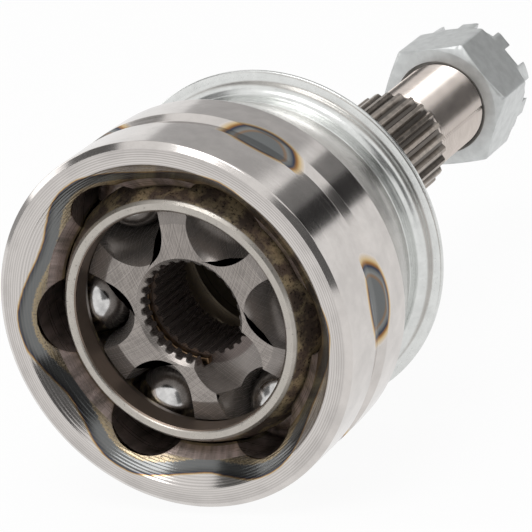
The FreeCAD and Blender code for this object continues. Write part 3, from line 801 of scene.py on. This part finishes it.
class CVJOINT_OT_balls(bpy.types.Operator):
    """Six polished bearing balls, each on its own body"""
    bl_idname = "cvjoint.balls"
    bl_label = "Balls"

    def execute(self, context):
        for k in range(SECTORS):
            node = "ball_%d" % (k + 1)
            low, high = frame_mm(node)
            grids = ball_grids((low + high) / 2, (high[1] - low[1]) / 2)
            ball = piece_from_grids("steel_" + node, grids, node, [node], 180.0)
            ball.data.materials.append(finish(context, "ball"))
        return {"FINISHED"}


# --------------------------------------------------------------------------------------- clip
class CVJOINT_OT_clip(bpy.types.Operator):
    """Open spring clip in the inner race, both ends inside the pliers' pocket"""
    bl_idname = "cvjoint.clip"
    bl_label = "Clip"

    def execute(self, context):
        s = sizes(context, "splines")
        rows = clip_rings(s, CLIP_LOW[1], CLIP_HIGH[1])
        clip = piece_from_grids(
            "spring_clip", [(rows, False, True)], "inner_race", ["retaining_ring"], 40.0)
        clip.data.materials.append(finish(context, "clip"))
        return {"FINISHED"}


def clip_rings(s, low, high, ease=0.3):
    """Rings of the clip: a rectangle with eased corners carried round from one end to the other.

    Towards either end the rectangle draws in along a quarter round, and a last ring closes it at its middle.
    """
    outer, middle = CLIP_HIGH[2], (low + high) / 2
    inner = outer - s.clip_band
    span = TURN - 2 * s.clip_gap
    share = np.concatenate([
        np.linspace(0, 0.008, 8), np.linspace(0.02, 0.98, 80), np.linspace(0.992, 1, 8),
    ])[:, None]
    azimuth = s.pocket_azimuth + s.clip_gap + share * span
    to_end = np.minimum(share, 1 - share) * span * outer
    inset = ease * (1 - np.sqrt(1 - np.clip(1 - to_end / ease, 0, 1) ** 2))
    turn = np.radians([-75, -45, -15, 15, 45, 75])
    round_r, round_y = np.cos(turn), np.sin(turn)
    side_r = np.concatenate([round_r[3:], -round_r[::-1][:3], -round_r[3:], round_r[:3]])
    side_y = np.concatenate([round_y[3:], round_y[3:][::-1], round_y[:3][::-1], round_y[:3]])
    half_band = (outer - inner) / 2 - ease
    half_thick = (high - low) / 2 - ease
    r = (outer + inner) / 2 + np.sign(side_r) * half_band + side_r * (ease - inset)
    y = middle + np.sign(side_y) * half_thick + side_y * (ease - inset)
    rows = polar(r, azimuth, y)
    first, last = (
        np.repeat(row.mean(axis=0)[None, None], rows.shape[1], axis=1) for row in (rows[0], rows[-1])
    )
    return np.concatenate([first, rows, last])[:, ::-1]


# ------------------------------------------------------------------------------------- shield
class CVJOINT_OT_shield(bpy.types.Operator):
    """Pressed dust shield: collar, quarter-round flare and slightly dished rim"""
    bl_idname = "cvjoint.shield"
    bl_label = "Dust shield"

    def execute(self, context):
        s = sizes(context, "splines")
        inside, sheet, flare = sizes(context, "bell").seat_radius, s.sheet, s.flare
        outside, rim, low = inside + sheet, SHIELD_HIGH[0], SHIELD_LOW[1]
        flat = low + s.collar + flare
        radius, height = outline([
            (inside + 0.02, low + 0.3), (inside + 0.3, low), (outside, low, 0.25), (outside, flat, flare),
            (outside + flare + 0.3, flat + 0.02, 2.0), (rim - 0.55, flat + s.dish - 0.1, 0.4),
            (rim, flat + s.dish, 0.35), (rim, flat + s.dish + sheet, 0.5),
            (outside + flare, flat + sheet, 1.0),
            (inside + 0.02, flat + sheet, flare + sheet), (inside + 0.02, low + 0.5),
        ], step=8.0)
        azimuth = np.linspace(0, TURN, 360, endpoint=False)[None]
        rings = polar(radius[:, None], azimuth, height[:, None])
        shield = piece_from_grids(
            "pressed_shield", [(rings, True, True)], "outer_race", ["dust_shield"], 50.0)
        shield.data.materials.append(finish(context, "shield"))
        return {"FINISHED"}


# ---------------------------------------------------------------------------------------- nut
def hexagon_radius(azimuth, flats, corner, ease):
    """Radius of a hexagon with eased corners: the smaller of flats over the cosine to either flat."""
    pitch = TURN / 6
    off = (azimuth - corner) % pitch - pitch / 2
    return smooth_min(flats / np.cos(off), flats / np.cos(pitch - np.abs(off)), ease)


def nut_rings(s):
    """Closed rings of the nut up to the slot floors: chamfers, flats, crown foot, floor and threaded bore.

    The chamfers' ends lie where cone and hexagon meet, flats over cosine less the face radius times tan 30.
    """
    low, high = NUT_LOW[1], NUT_HIGH[1]
    corner, face = s.nut_corner, s.nut_face_radius
    one = np.radians(np.array([
        0, 0.5, 1.1, 1.9, 3, 5, 8, 12, 16, 20, 25, 30, 35, 40, 44, 48, 52, 55, 57, 58.1, 58.9, 59.5,
    ]))
    columns = (corner + np.add.outer(np.arange(6) * TURN / 6, one).ravel())[None]
    flats = hexagon_radius(columns, s.nut_flats, corner, 0.3)
    slope = math.tan(s.nut_chamfer)
    crown_start = high - s.crown_height
    floor = high - s.slot_depth
    rise = low + (flats - face) * slope
    fall = crown_start - np.clip(flats - s.crown_radius, 0, None) * slope
    crown = np.minimum(flats, s.crown_radius)
    minor = s.thread_radius - s.thread_pitch * NUT_THREAD_DEPTH
    one_row = np.ones_like(columns)
    rows = []
    for radius, height in (
        (minor + s.nut_countersink + 0.15, low), (face - 0.25, low), (face + 0.02, low + 0.1),
        (face + (flats - face) * 0.5, low + (rise - low) * 0.5),
        (flats - 0.1, rise - 0.06), (flats, rise + 0.12), (flats, rise + 0.6), (flats, (rise + fall) / 2),
        (flats, fall - 0.6), (flats, fall - 0.12), (flats - (flats - crown) * 0.1, fall + 0.02),
        (crown + (flats - crown) * 0.1, crown_start - 0.02), (crown, crown_start + 0.15),
        (crown, floor - 0.05),
        (crown, floor), (crown - 0.05, floor), ((crown + 11.1) / 2, floor), (11.2, floor),
    ):
        rows.append(polar(radius * one_row, columns, height * one_row)[0])
    azimuth, height = thread_rows(s, low, floor, columns)
    bore = minor + (s.thread_radius + 0.06 - minor) * thread_ridge(s, azimuth, height)
    bore = np.maximum(bore, minor + s.nut_countersink - (height - low))
    bore = polar(bore, azimuth, height)[::-1]
    return np.concatenate([np.stack(rows), bore])


def crown_finger_grids(s, middle):
    """Grids of one finger of the crown between two slots: a mapped block with eased top edges.

    At any radius it spans from one slot's wall to the next, half a slot pitch less arcsin of half a slot's
    width over the radius each side of its middle.
    """
    low, high = NUT_HIGH[1] - s.slot_depth, NUT_HIGH[1]
    corner = s.nut_corner
    n_r, n_u = 8, 8

    def plan(inset):
        """Radius and azimuth of the finger's plan, drawn in on every side by the inset."""
        w = np.linspace(0, 1, n_r)[:, None]
        u = np.linspace(-1, 1, n_u)[None]
        inner = s.thread_radius + 0.08 + inset
        outer = s.crown_radius - inset
        radius = outer + (inner - outer) * w + 0 * u
        half = TURN / 2 / s.slots - np.arcsin((s.slot_width / 2 + inset) / radius)
        azimuth = middle + u * np.clip(half, math.radians(0.3), None)
        trimmed = np.minimum(radius, hexagon_radius(azimuth, s.nut_flats, corner, 0.3) - inset)
        return trimmed, azimuth

    def loop(radius, azimuth):
        """Border of a plan as one closed row."""
        pick = [(radius[0], azimuth[0]), (radius[1:, -1], azimuth[1:, -1]),
                (radius[-1, -2::-1], azimuth[-1, -2::-1]), (radius[-2:0:-1, 0], azimuth[-2:0:-1, 0])]
        return np.concatenate([p[0] for p in pick]), np.concatenate([p[1] for p in pick])

    rows = []
    for height, inset in (
        (low, 0.0), (low + 0.15, 0.0), (high - 1.0, 0.0), (high - 0.55, 0.02), (high - 0.25, 0.12),
        (high - 0.07, 0.3), (high, 0.55),
    ):
        radius, azimuth = loop(*plan(inset))
        rows.append(polar(radius, azimuth, np.full_like(radius, height)))
    top_radius, top_azimuth = plan(0.55)
    base_radius, base_azimuth = plan(0.0)
    return [
        (np.stack(rows), False, True),
        (polar(top_radius, top_azimuth, np.full_like(top_radius, high)), False, False),
        (polar(base_radius, base_azimuth, np.full_like(base_radius, low))[::-1], False, False),
    ]


class CVJOINT_OT_nut(bpy.types.Operator):
    """Castle nut: chamfered hexagon, threaded bore and a round crown with ten slots"""
    bl_idname = "cvjoint.nut"
    bl_label = "Castle nut"

    def execute(self, context):
        s = sizes(context, "splines")
        grids = [(nut_rings(s), True, True)]
        for k in range(s.slots):
            grids += crown_finger_grids(s, s.slot_azimuth + (k + 0.5) * TURN / s.slots)
        nut = piece_from_grids("slotted_nut", grids, "castle_nut", ["castle_nut"], 34.0)
        nut.data.materials.append(finish(context, "nut"))
        return {"FINISHED"}


# ------------------------------------------------------------------------------------ finishes
class Value:
    """Output of a shader node. Arithmetic on it adds the nodes it needs, so a recipe reads as a formula."""

    def __init__(self, recipe, socket):
        self.recipe, self.socket = recipe, socket

    def __add__(self, other):
        return self.recipe.math("ADD", self, other)

    def __sub__(self, other):
        return self.recipe.math("SUBTRACT", self, other)

    def __rsub__(self, other):
        return self.recipe.math("SUBTRACT", other, self)

    def __mul__(self, other):
        return self.recipe.math("MULTIPLY", self, other)

    def __gt__(self, other):
        return self.recipe.math("GREATER_THAN", self, other)

    def __lt__(self, other):
        return self.recipe.math("LESS_THAN", self, other)


class Recipe:
    """Node material under construction, with the surface's point, radius, azimuth and height ready to use.

    They are in millimetres and radians, and read the object's own coordinates.
    """

    def __init__(self, name):
        self.material = bpy.data.materials.new(name)
        self.material.use_nodes = True
        self.tree = self.material.node_tree
        self.count = 0
        place = self.node("ShaderNodeTexCoord", output="Object")
        self.point = self.node("ShaderNodeVectorMath", (place, (1 / MM,) * 3), operation="MULTIPLY")
        split = self.node("ShaderNodeSeparateXYZ", (self.point,)).socket.node.outputs
        x, self.height, z = (Value(self, socket) for socket in split)
        self.radius = self.math("SQRT", x * x + z * z)
        self.azimuth = self.math("ARCTAN2", z, x)

    def connect(self, node, key, value):
        """Links a value into an input, or sets the input where the value is a constant."""
        if isinstance(value, Value):
            self.tree.links.new(value.socket, node.inputs[key])
        elif value is not None:
            node.inputs[key].default_value = value

    def node(self, kind, inputs=(), output=0, **settings):
        node = self.tree.nodes.new(kind)
        node.location = (-180 * (self.count % 14) - 300, -220 * (self.count // 14))
        self.count += 1
        for key, value in settings.items():
            setattr(node, key, value)
        for key, value in inputs.items() if isinstance(inputs, dict) else enumerate(inputs):
            self.connect(node, key, value)
        return Value(self, node.outputs[output])

    def math(self, operation, *values):
        return self.node("ShaderNodeMath", values, operation=operation)

    def noise(self, vector, scale, detail=3.0, roughness=0.55):
        inputs = {"Vector": vector, "Scale": scale, "Detail": detail, "Roughness": roughness}
        return self.node("ShaderNodeTexNoise", inputs, "Fac")

    def line_noise(self, value, scale, detail=2.0):
        """Noise that changes with one value only, such as turned rings."""
        inputs = {"W": value, "Scale": scale, "Detail": detail}
        return self.node("ShaderNodeTexNoise", inputs, "Fac", noise_dimensions="1D")

    def ramp(self, value, stops):
        colours = self.node("ShaderNodeValToRGB", (value,))
        elements = colours.socket.node.color_ramp.elements
        while len(elements) < len(stops):
            elements.new(1.0)
        for element, (position, rgb) in zip(elements, stops):
            element.position = position
            element.color = (*rgb, 1)
        return colours

    def span(self, value, low, high, to_low=0.0, to_high=1.0):
        """Value carried from one span to another and held at its ends."""
        return self.node("ShaderNodeMapRange", (value, low, high, to_low, to_high))

    def mix(self, share, first, second):
        """First colour where share is 0, second where it is 1."""
        first, second = (v if isinstance(v, Value) else (*v, 1) for v in (first, second))
        return self.node("ShaderNodeMix", {0: share, 6: first, 7: second}, 2, data_type="RGBA")

    def bump(self, height, distance, strength, normal=None):
        inputs = {"Strength": strength, "Distance": distance, "Height": height, "Normal": normal}
        return self.node("ShaderNodeBump", inputs)

    def finish(self, colour, roughness, metallic=1.0, normal=None):
        shader = self.tree.nodes["Principled BSDF"]
        for key, value in (
            ("Base Color", colour), ("Roughness", roughness), ("Metallic", metallic), ("Normal", normal),
        ):
            self.connect(shader, key, value)
        return self.material


def dim(rgb, share):
    """Colour with each part multiplied by a share."""
    return tuple(part * share for part in rgb)


def streaks(recipe):
    """Noise drawn out along the ball tracks: fine round the axis and coarse along it."""
    vector = recipe.node("ShaderNodeCombineXYZ", (recipe.azimuth * 16.0, recipe.height * 0.12))
    return recipe.noise(vector, 1.0, 4.0, 0.6)


def bell_finish(recipe, c):
    """Fine-turned steel outside. Heat tint runs round the mouth along a six-lobed line: straw, brown, dark
    blue, slate and then speckled gold scale. A spot of the same tints stands in the boot groove over each
    track. The cavity and its tracks carry dark, streaky hardening scale.

    The lobed line is a radius of 34.6 mm between tracks and 3 mm more over them. A spot's edge is where the
    square along the axis and the lobe's fall round it add up to 1. What lies inside a radius of 43.6 mm less
    0.37 of the height, or 38.5 mm if that is smaller, is the cavity.
    """
    front, entry, floor, face = -12.0, -15.5, 27.0, -15.0
    rim_radius, skin_radius, edge_radius, guide_radius = 38.6, 39.5, 40.7, 32.9
    spot_middle, spot_half, spot_lobe = -3.9, 4.7, 0.40
    ring_gap = 0.52
    point, radius, height = recipe.point, recipe.radius, recipe.height
    lobe = recipe.math("COSINE", recipe.azimuth * SECTORS) * 0.5 + 0.5
    cloud = recipe.noise(point, 0.16, 3.0)
    grit = recipe.noise(point, 2.6, 4.0, 0.7)
    steel = recipe.mix(recipe.span(cloud, 0.35, 0.65), c.turned_steel, dim(c.turned_steel, 0.86))

    inwards = lobe * 3.0 + 34.6 + (cloud * 0.6 - 0.3) - radius
    ragged = recipe.span(inwards, 1.6, 2.2) * (grit * 1.6 - 0.8) + inwards
    tint = recipe.ramp(recipe.span(ragged, -0.5, 5.5), (
        (0.0, c.turned_steel), (0.04, c.turned_steel), (0.075, c.tint_straw), (0.10, c.tint_brown),
        (0.125, c.tint_blue), (0.17, dim(c.tint_slate, 0.55)), (0.28, c.tint_slate), (0.47, c.tint_slate),
        (0.50, c.scale_gold), (0.62, dim(c.scale_gold, 0.7)), (0.80, dim(c.scale_dark, 1.5)),
        (1.0, c.scale_dark),
    ))
    pits = recipe.span(grit, 0.56, 0.64) * recipe.span(inwards, 1.9, 3.2)
    tint = recipe.mix(pits, tint, dim(c.scale_dark, 0.35))

    along = height * (1 / spot_half) - spot_middle / spot_half
    spot = recipe.math("SQRT", along * along + (lobe * (-1 / spot_lobe) + 1 / spot_lobe))
    brown_slate = tuple((a + b) / 2 for a, b in zip(c.tint_brown, c.tint_slate))
    spots = recipe.ramp(recipe.span(spot, 0.0, 1.2), (
        (0.0, c.tint_slate), (0.50, c.tint_slate), (0.56, brown_slate), (0.62, dim(c.tint_slate, 1.4)),
        (0.68, c.tint_slate), (0.74, c.tint_blue), (0.80, c.tint_brown), (0.86, c.tint_straw),
        (0.96, c.turned_steel),
    ))
    outside = (radius > skin_radius) * (height > front)
    steel = recipe.mix(outside * (spot < 1.15), steel, spots)
    at_mouth = recipe.mix(height < front, steel, tint)
    at_mouth = recipe.mix(radius > rim_radius, at_mouth, steel)

    rings = recipe.line_noise(radius - height, 1.6, 2.0)
    ridge = recipe.math("SINE", radius * (TURN / ring_gap)) * 0.3 + rings
    mouth = (height < face) * (radius < edge_radius)
    # Painted shade: on the mouth face the valleys of the turning rings are mixed towards a dark copy of the
    # turned steel.
    groove = mouth * recipe.span(ridge, 0.15, 0.85, 0.34, 0.0)
    at_mouth = recipe.mix(groove, at_mouth, dim(c.turned_steel, 0.3))

    wall = recipe.math("MINIMUM", height * -0.37 + 43.6, 38.5)
    inside = (radius < wall) * (height < floor) * (height > entry)
    scale = recipe.mix(recipe.span(grit, 0.45, 0.66), dim(c.scale_gold, 0.45), c.scale_dark)
    whole = recipe.mix(inside, at_mouth, scale)
    from_centre = recipe.math("SQRT", radius * radius + height * height)
    track = recipe.mix(recipe.span(streaks(recipe), 0.35, 0.65), c.scale_dark, c.track_brown)
    whole = recipe.mix((from_centre > guide_radius) * inside, whole, track)

    rough = rings * 0.10 + 0.10 + inside * 0.14
    normal = recipe.bump(ridge * (mouth * 0.93 + 0.07), 0.00003, 0.8)
    normal = recipe.bump(pits * -1.0, 0.00003, 0.5, normal)
    return recipe.finish(whole, rough, inside * -0.4 + 1.0, normal)


def spline_finish(recipe, c):
    """Rolled flanks with brown smears, and painted shade that blackens the grooves between the teeth."""
    groove, crest = 11.9, 12.9
    dirt = recipe.noise(recipe.point, 0.5, 5.0)
    colour = recipe.mix(recipe.span(dirt, 0.35, 0.65), dim(c.spline_steel, 0.6), c.spline_steel)
    # Painted shade: towards the tooth roots the colour falls to a dark copy of the spline steel.
    colour = recipe.mix(recipe.span(recipe.radius, groove, crest), dim(c.spline_steel, 0.3), colour)
    return recipe.finish(colour, dirt * 0.25 + 0.2, 1.0, recipe.bump(dirt, 0.00005, 0.4))


def thread_finish(recipe, c):
    """Thread steel with painted shade that darkens the grooves between the ridges."""
    groove, crest = 10.4, 10.85
    cloud = recipe.noise(recipe.point, 0.3, 3.0)
    colour = recipe.mix(cloud, dim(c.thread_steel, 0.75), c.thread_steel)
    # Painted shade: towards the thread's roots the colour falls to a dark copy of the thread steel.
    colour = recipe.mix(recipe.span(recipe.radius, groove, crest), dim(c.thread_steel, 0.45), colour)
    return recipe.finish(colour, cloud * 0.12 + 0.14)


def cage_finish(recipe, c):
    """Ground ring faces, an oiled dark sphere with a yellow sheen in patches and fine pits, and painted shade
    in the entry bore, which gets the plain dark sphere colour.
    """
    point = recipe.point
    blotch = recipe.noise(point, 0.22, 5.0, 0.6)
    pits = recipe.noise(point, 1.5, 5.0, 0.7)
    dark = recipe.mix(recipe.span(blotch, 0.47, 0.60), c.cage_dark_and_bore_shade, c.cage_sheen)
    dark = recipe.mix(recipe.span(pits, 0.53, 0.62), dark, dim(c.cage_dark_and_bore_shade, 0.35))
    face_depth, shaded_bore_radius = 0.75, 25.4
    face = recipe.height < CAGE_LOW[1] + face_depth
    ground = recipe.mix(recipe.noise(point, 0.5, 3.0), c.cage_ground, dim(c.cage_ground, 0.8))
    ground = recipe.mix(recipe.span(pits, 0.60, 0.68), ground, dim(c.cage_ground, 0.4))
    # Painted shade: inside the entry bore's radius the cage takes the plain dark sphere colour.
    colour = recipe.mix(recipe.radius < shaded_bore_radius, recipe.mix(face, dark, ground), c.cage_dark_and_bore_shade)
    rings = recipe.line_noise(recipe.radius - recipe.height, 4.0, 3.0)
    rough = rings * 0.10 + 0.12 + blotch * 0.5 - face * 0.14
    normal = recipe.bump(rings, 0.00002, 0.5)
    return recipe.finish(colour, rough, 0.8, recipe.bump(pits, 0.00003, 0.4, normal))


def milling_arcs(recipe, centre):
    """Fine arcs of a face cutter round a centre that stands off the axis."""
    gap = recipe.node("ShaderNodeVectorMath", (recipe.point, centre), "Value", operation="DISTANCE")
    return recipe.line_noise(gap, 3.4, 3.0)


def race_finish(recipe, c):
    """Ground face with two crossing sets of cutter arcs, and painted shade that leaves the bore dark."""
    face, lip, tooth_end = float(INNER_LOW[1]), 1.5, -8.0
    shaded_bore_radius, clip_clearance = 12.95, 1.1
    arcs = milling_arcs(recipe, (34.0, 0.0, 22.0)) + milling_arcs(recipe, (-30.0, 0.0, 30.0))
    cloud = recipe.noise(recipe.point, 0.3, 4.0)
    smear = arcs * 1.4 - 1.4 + cloud
    ground = recipe.mix(recipe.span(smear, 0.3, 0.7), dim(c.race_steel, 0.66), c.race_steel)
    front = recipe.height < face + 0.02
    behind = 1.0 - front
    # Painted shade: the bore behind the front face, out to the clip's groove beyond the teeth, takes the dark
    # bore colour; its front bevel is set back to 0.9 of the race's steel.
    limit = (recipe.height > tooth_end) * clip_clearance + shaded_bore_radius
    bore = (recipe.radius < limit) * behind
    bevel = bore * (recipe.height < face + lip)
    colour = recipe.mix(behind, ground, recipe.mix(cloud, dim(c.race_steel, 0.5), c.race_steel))
    colour = recipe.mix(bore, colour, c.race_bore_shade)
    colour = recipe.mix(bevel, colour, dim(c.race_steel, 0.9))
    cut = recipe.bump(arcs * front, 0.00003, 0.4)
    return recipe.finish(colour, arcs * 0.12 + 0.14, front * 0.4 + 0.6, cut)


def ball_finish(recipe, c):
    """Polished steel with faint oily smears."""
    smear = recipe.noise(recipe.point, 0.4, 4.0)
    colour = recipe.mix(recipe.span(smear, 0.45, 0.7), c.ball_steel, dim(c.ball_steel, 0.7))
    return recipe.finish(colour, smear * 0.12 + 0.10)


def clip_finish(recipe, c):
    """Brown spring steel, brighter where it rubs."""
    cloud = recipe.noise(recipe.point, 0.8, 4.0)
    colour = recipe.mix(cloud, dim(c.clip_steel, 0.5), dim(c.clip_steel, 1.5))
    return recipe.finish(colour, cloud * 0.15 + 0.25)


def shield_finish(recipe, c):
    """Pale plate with faint pressing rings, specks and a soft shine."""
    cloud = recipe.noise(recipe.point, 0.35, 4.0)
    speckle = recipe.noise(recipe.point, 2.4, 3.0, 0.7)
    colour = recipe.mix(recipe.span(cloud, 0.35, 0.65), dim(c.shield_zinc, 0.9), c.shield_zinc)
    colour = recipe.mix(recipe.span(speckle, 0.66, 0.72), colour, dim(c.shield_zinc, 0.4))
    rings = recipe.line_noise(recipe.radius - recipe.height, 2.0, 2.0)
    rough = rings * 0.10 + 0.14 + speckle * 0.10
    return recipe.finish(colour, rough, 1.0, recipe.bump(speckle, 0.00002, 0.25))


def nut_finish(recipe, c):
    """Pale plate with a fine grain and rubbed patches."""
    cloud = recipe.noise(recipe.point, 0.4, 4.0)
    grain = recipe.noise(recipe.point, 2.0, 3.0, 0.6)
    colour = recipe.mix(recipe.span(cloud, 0.35, 0.65), dim(c.nut_zinc, 0.86), c.nut_zinc)
    return recipe.finish(colour, grain * 0.18 + 0.30, 0.72, recipe.bump(grain, 0.00002, 0.3))


FINISHES = {
    "bell": ("bell_turned_and_tinted", bell_finish),
    "stub_spline": ("stub_spline_rolled", spline_finish),
    "stub_thread": ("stub_thread_bright", thread_finish),
    "cage": ("cage_ground_and_oiled", cage_finish),
    "inner_race": ("inner_race_milled", race_finish),
    "ball": ("ball_polished", ball_finish),
    "clip": ("clip_tempered", clip_finish),
    "shield": ("shield_plated", shield_finish),
    "nut": ("nut_plated", nut_finish),
}


def finish(context, key):
    """Material of a piece, made once."""
    name, build = FINISHES[key]
    if name in bpy.data.materials:
        return bpy.data.materials[name]
    return build(Recipe(name), sizes(context, "finishes"))


# --------------------------------------------------------------------------------------- stage
AIM = Vector((0, 0.03, 0))
LENS = 236.6
# Rows of the camera's place: its right, its up, the way opposite to its view, and where it stands in metres
CAMERA_PLACE = (
    (0.88804, 0.0, 0.45976, 0.3600),
    (0.4295, 0.3567, -0.8296, -0.6237),
    (-0.1640, 0.93421, 0.31677, 0.2448),
    (0, 0, 0, 1),
)
# Reflectors: name, direction from the joint, direction of a side, half sizes in degrees, shade, distance
CARDS = (
    ("lens_side_flag", (0.76, -0.61, 0.10), (0.63, 0.78, 0), (17, 32), 0.14, 1.1),
    ("upper_rear_flag", (0.45, 0.845, 0.28), (0, 1, 0), (30, 5), 0.03, 1.0),
    ("upper_rear_veil", (0.40, 0.85, 0.33), (0, 1, 0), (30, 10), 0.24, 1.1),
    ("upper_right_flag", (0.84, -0.16, 0.50), (0, 1, 0), (24, 8), 0.06, 1.1),
    ("rear_screen", (-0.14, 0.84, 0.50), (0, 1, 0), (30, 21), 0.54, 1.1),
    ("upper_left_flag", (-0.74, -0.22, 0.64), (0.3, 0.9, 0), (26, 11), 0.14, 1.1),
    ("left_flag", (-0.97, 0.18, -0.05), (0, 1, 0), (30, 16), 0.40, 1.1),
    ("low_front_screen", (-0.49, -0.80, -0.33), (0.85, -0.52, 0), (14, 8), 0.72, 1.1),
)
# Soft lamps: name, direction from the joint, two sides in metres, watts
LAMPS = (
    ("top_lamp", (0.05, -0.42, 0.90), (0.45, 0.34), 1.9),
    ("left_lamp", (-0.90, 0.05, 0.42), (0.4, 0.4), 0.5),
)


def white_to_lens(tree, lit, output, white_kind, share):
    """Blends a lit shader with plain white, which is what lens and mirror rays see."""
    rays = tree.nodes.new("ShaderNodeLightPath").outputs
    seen = rays["Is Camera Ray"]
    for kind in ("Is Glossy Ray", "Is Transmission Ray"):
        either = tree.nodes.new("ShaderNodeMath")
        either.operation = "MAXIMUM"
        tree.links.new(seen, either.inputs[0])
        tree.links.new(rays[kind], either.inputs[1])
        seen = either.outputs[0]
    part = tree.nodes.new("ShaderNodeMath")
    part.operation = "MULTIPLY"
    part.inputs[1].default_value = share
    tree.links.new(seen, part.inputs[0])
    white = tree.nodes.new(white_kind)
    white.inputs["Color"].default_value = (1, 1, 1, 1)
    white.inputs["Strength"].default_value = 1.0
    blend = tree.nodes.new("ShaderNodeMixShader")
    for place, socket in enumerate((part.outputs[0], lit, white.outputs[0])):
        tree.links.new(socket, blend.inputs[place])
    tree.links.new(blend.outputs[0], output.inputs["Surface"])


def stage_plane(scene, name, corners, material_name):
    """Flat four-cornered piece of the stage, and the node tree of its new material."""
    mesh = bpy.data.meshes.new(name)
    mesh.from_pydata([tuple(corner) for corner in corners], [], [(0, 1, 2, 3)])
    plane = bpy.data.objects.new(name, mesh)
    scene.collection.objects.link(plane)
    material = bpy.data.materials.new(material_name)
    material.use_nodes = True
    mesh.materials.append(material)
    return plane, material.node_tree


def pale_floor(scene, edge=4.0, gap=0.0015):
    """Large pale floor just under the bell, white to the lens but for the object's soft shadow."""
    low = RACE_LOW[2] * MM - gap
    corners = [(-edge, -edge, low), (edge, -edge, low), (edge, edge, low), (-edge, edge, low)]
    tree = stage_plane(scene, "floor", corners, "pale_floor")[1]
    shader = tree.nodes["Principled BSDF"]
    shader.inputs["Base Color"].default_value = (0.9, 0.9, 0.9, 1)
    shader.inputs["Roughness"].default_value = 0.9
    white_to_lens(tree, shader.outputs[0], tree.nodes["Material Output"], "ShaderNodeEmission", 0.93)


def card(scene, name, towards, along, degrees, shade, distance):
    """Flat reflector that only shows in polished metal: shade 0 is a black flag, 1 a white screen.

    It faces the joint from a direction. Its first side lies along a second direction as nearly as it can, and
    both half sides are given in degrees as seen from the joint.
    """
    face = Vector(towards).normalized()
    side = Vector(along)
    side = (side - face * side.dot(face)).normalized()
    half_side, half_up = (
        way * math.tan(math.radians(half)) * distance for way, half in zip((side, face.cross(side)), degrees)
    )
    middle = AIM + face * distance
    corners = [middle + half_side * a + half_up * b for a, b in ((-1, -1), (1, -1), (1, 1), (-1, 1))]
    screen, tree = stage_plane(scene, name, corners, name)
    inputs = tree.nodes["Principled BSDF"].inputs
    inputs["Base Color"].default_value = (0, 0, 0, 1)
    inputs["Specular IOR Level"].default_value = 0
    inputs["Emission Color"].default_value = (shade, shade, shade, 1)
    inputs["Emission Strength"].default_value = 1.0
    screen.visible_camera = False
    screen.visible_diffuse = False
    screen.visible_shadow = False


def soft_lamp(scene, name, towards, size, power, distance=0.9):
    """Soft rectangular lamp that faces the joint from a direction."""
    data = bpy.data.lights.new(name, "AREA")
    data.shape = "RECTANGLE"
    data.size, data.size_y = size
    data.energy = power
    lamp = bpy.data.objects.new(name, data)
    scene.collection.objects.link(lamp)
    direction = Vector(towards).normalized()
    lamp.location = AIM + direction * distance
    lamp.rotation_mode = "QUATERNION"
    lamp.rotation_quaternion = direction.to_track_quat("Z", "Y")
    lamp.visible_camera = False


class CVJOINT_OT_stage(bpy.types.Operator):
    """Pale floor, reflectors and flags, soft lamps and the camera"""
    bl_idname = "cvjoint.stage"
    bl_label = "Stage"

    def execute(self, context):
        scene = context.scene
        pale_floor(scene)
        world = bpy.data.worlds.new("studio")
        world.use_nodes = True
        nodes = world.node_tree.nodes
        back = nodes["Background"]
        back.inputs["Color"].default_value = (1, 1, 1, 1)
        back.inputs["Strength"].default_value = 0.75
        white_to_lens(world.node_tree, back.outputs[0], nodes["World Output"], "ShaderNodeBackground", 1.0)
        scene.world = world
        for entry in CARDS:
            card(scene, *entry)
        for entry in LAMPS:
            soft_lamp(scene, *entry)
        camera_data = bpy.data.cameras.new("camera")
        camera_data.sensor_width = 36.0
        camera_data.lens = LENS
        camera_data.clip_start, camera_data.clip_end = 0.01, 20.0
        camera = bpy.data.objects.new("camera", camera_data)
        scene.collection.objects.link(camera)
        camera.matrix_world = Matrix(CAMERA_PLACE)
        scene.camera = camera
        scene.view_settings.view_transform = "Standard"
        return {"FINISHED"}


# --------------------------------------------------------------------------------------- panel
class CVJOINT_PT_panel(bpy.types.Panel):
    """Lists the joint's pieces and their sizes"""
    bl_idname = "CVJOINT_PT_panel"
    bl_label = "CV joint"
    bl_space_type = "VIEW_3D"
    bl_region_type = "UI"
    bl_category = "CV joint"

    def draw(self, context):
        for operator in OPERATORS:
            self.layout.operator(operator.bl_idname)
        for group in GROUPS:
            values = getattr(context.scene, "cv_" + group)
            box = self.layout.box()
            box.label(text=group.capitalize())
            for key in values.bl_rna.properties.keys():
                if key not in ("rna_type", "name"):
                    box.prop(values, key)


GROUPS = {
    "bell": CVJOINT_PG_bell,
    "tracks": CVJOINT_PG_tracks,
    "splines": CVJOINT_PG_splines,
    "finishes": CVJOINT_PG_finishes,
}
OPERATORS = (
    CVJOINT_OT_bell, CVJOINT_OT_stub_spline, CVJOINT_OT_stub_thread, CVJOINT_OT_cage, CVJOINT_OT_inner_race,
    CVJOINT_OT_balls, CVJOINT_OT_clip, CVJOINT_OT_shield, CVJOINT_OT_nut, CVJOINT_OT_stage,
)


def register():
    for cls in (*GROUPS.values(), *OPERATORS, CVJOINT_PT_panel):
        bpy.utils.register_class(cls)
    for group, cls in GROUPS.items():
        setattr(bpy.types.Scene, "cv_" + group, PointerProperty(type=cls))


def unregister():
    for group in GROUPS:
        delattr(bpy.types.Scene, "cv_" + group)
    for cls in (CVJOINT_PT_panel, *reversed(OPERATORS), *reversed(list(GROUPS.values()))):
        bpy.utils.unregister_class(cls)


def main():
    register()
    for operator in OPERATORS:
        group, name = operator.bl_idname.split(".")
        getattr(getattr(bpy.ops, group), name)()


if __name__ == "__main__":
    main()
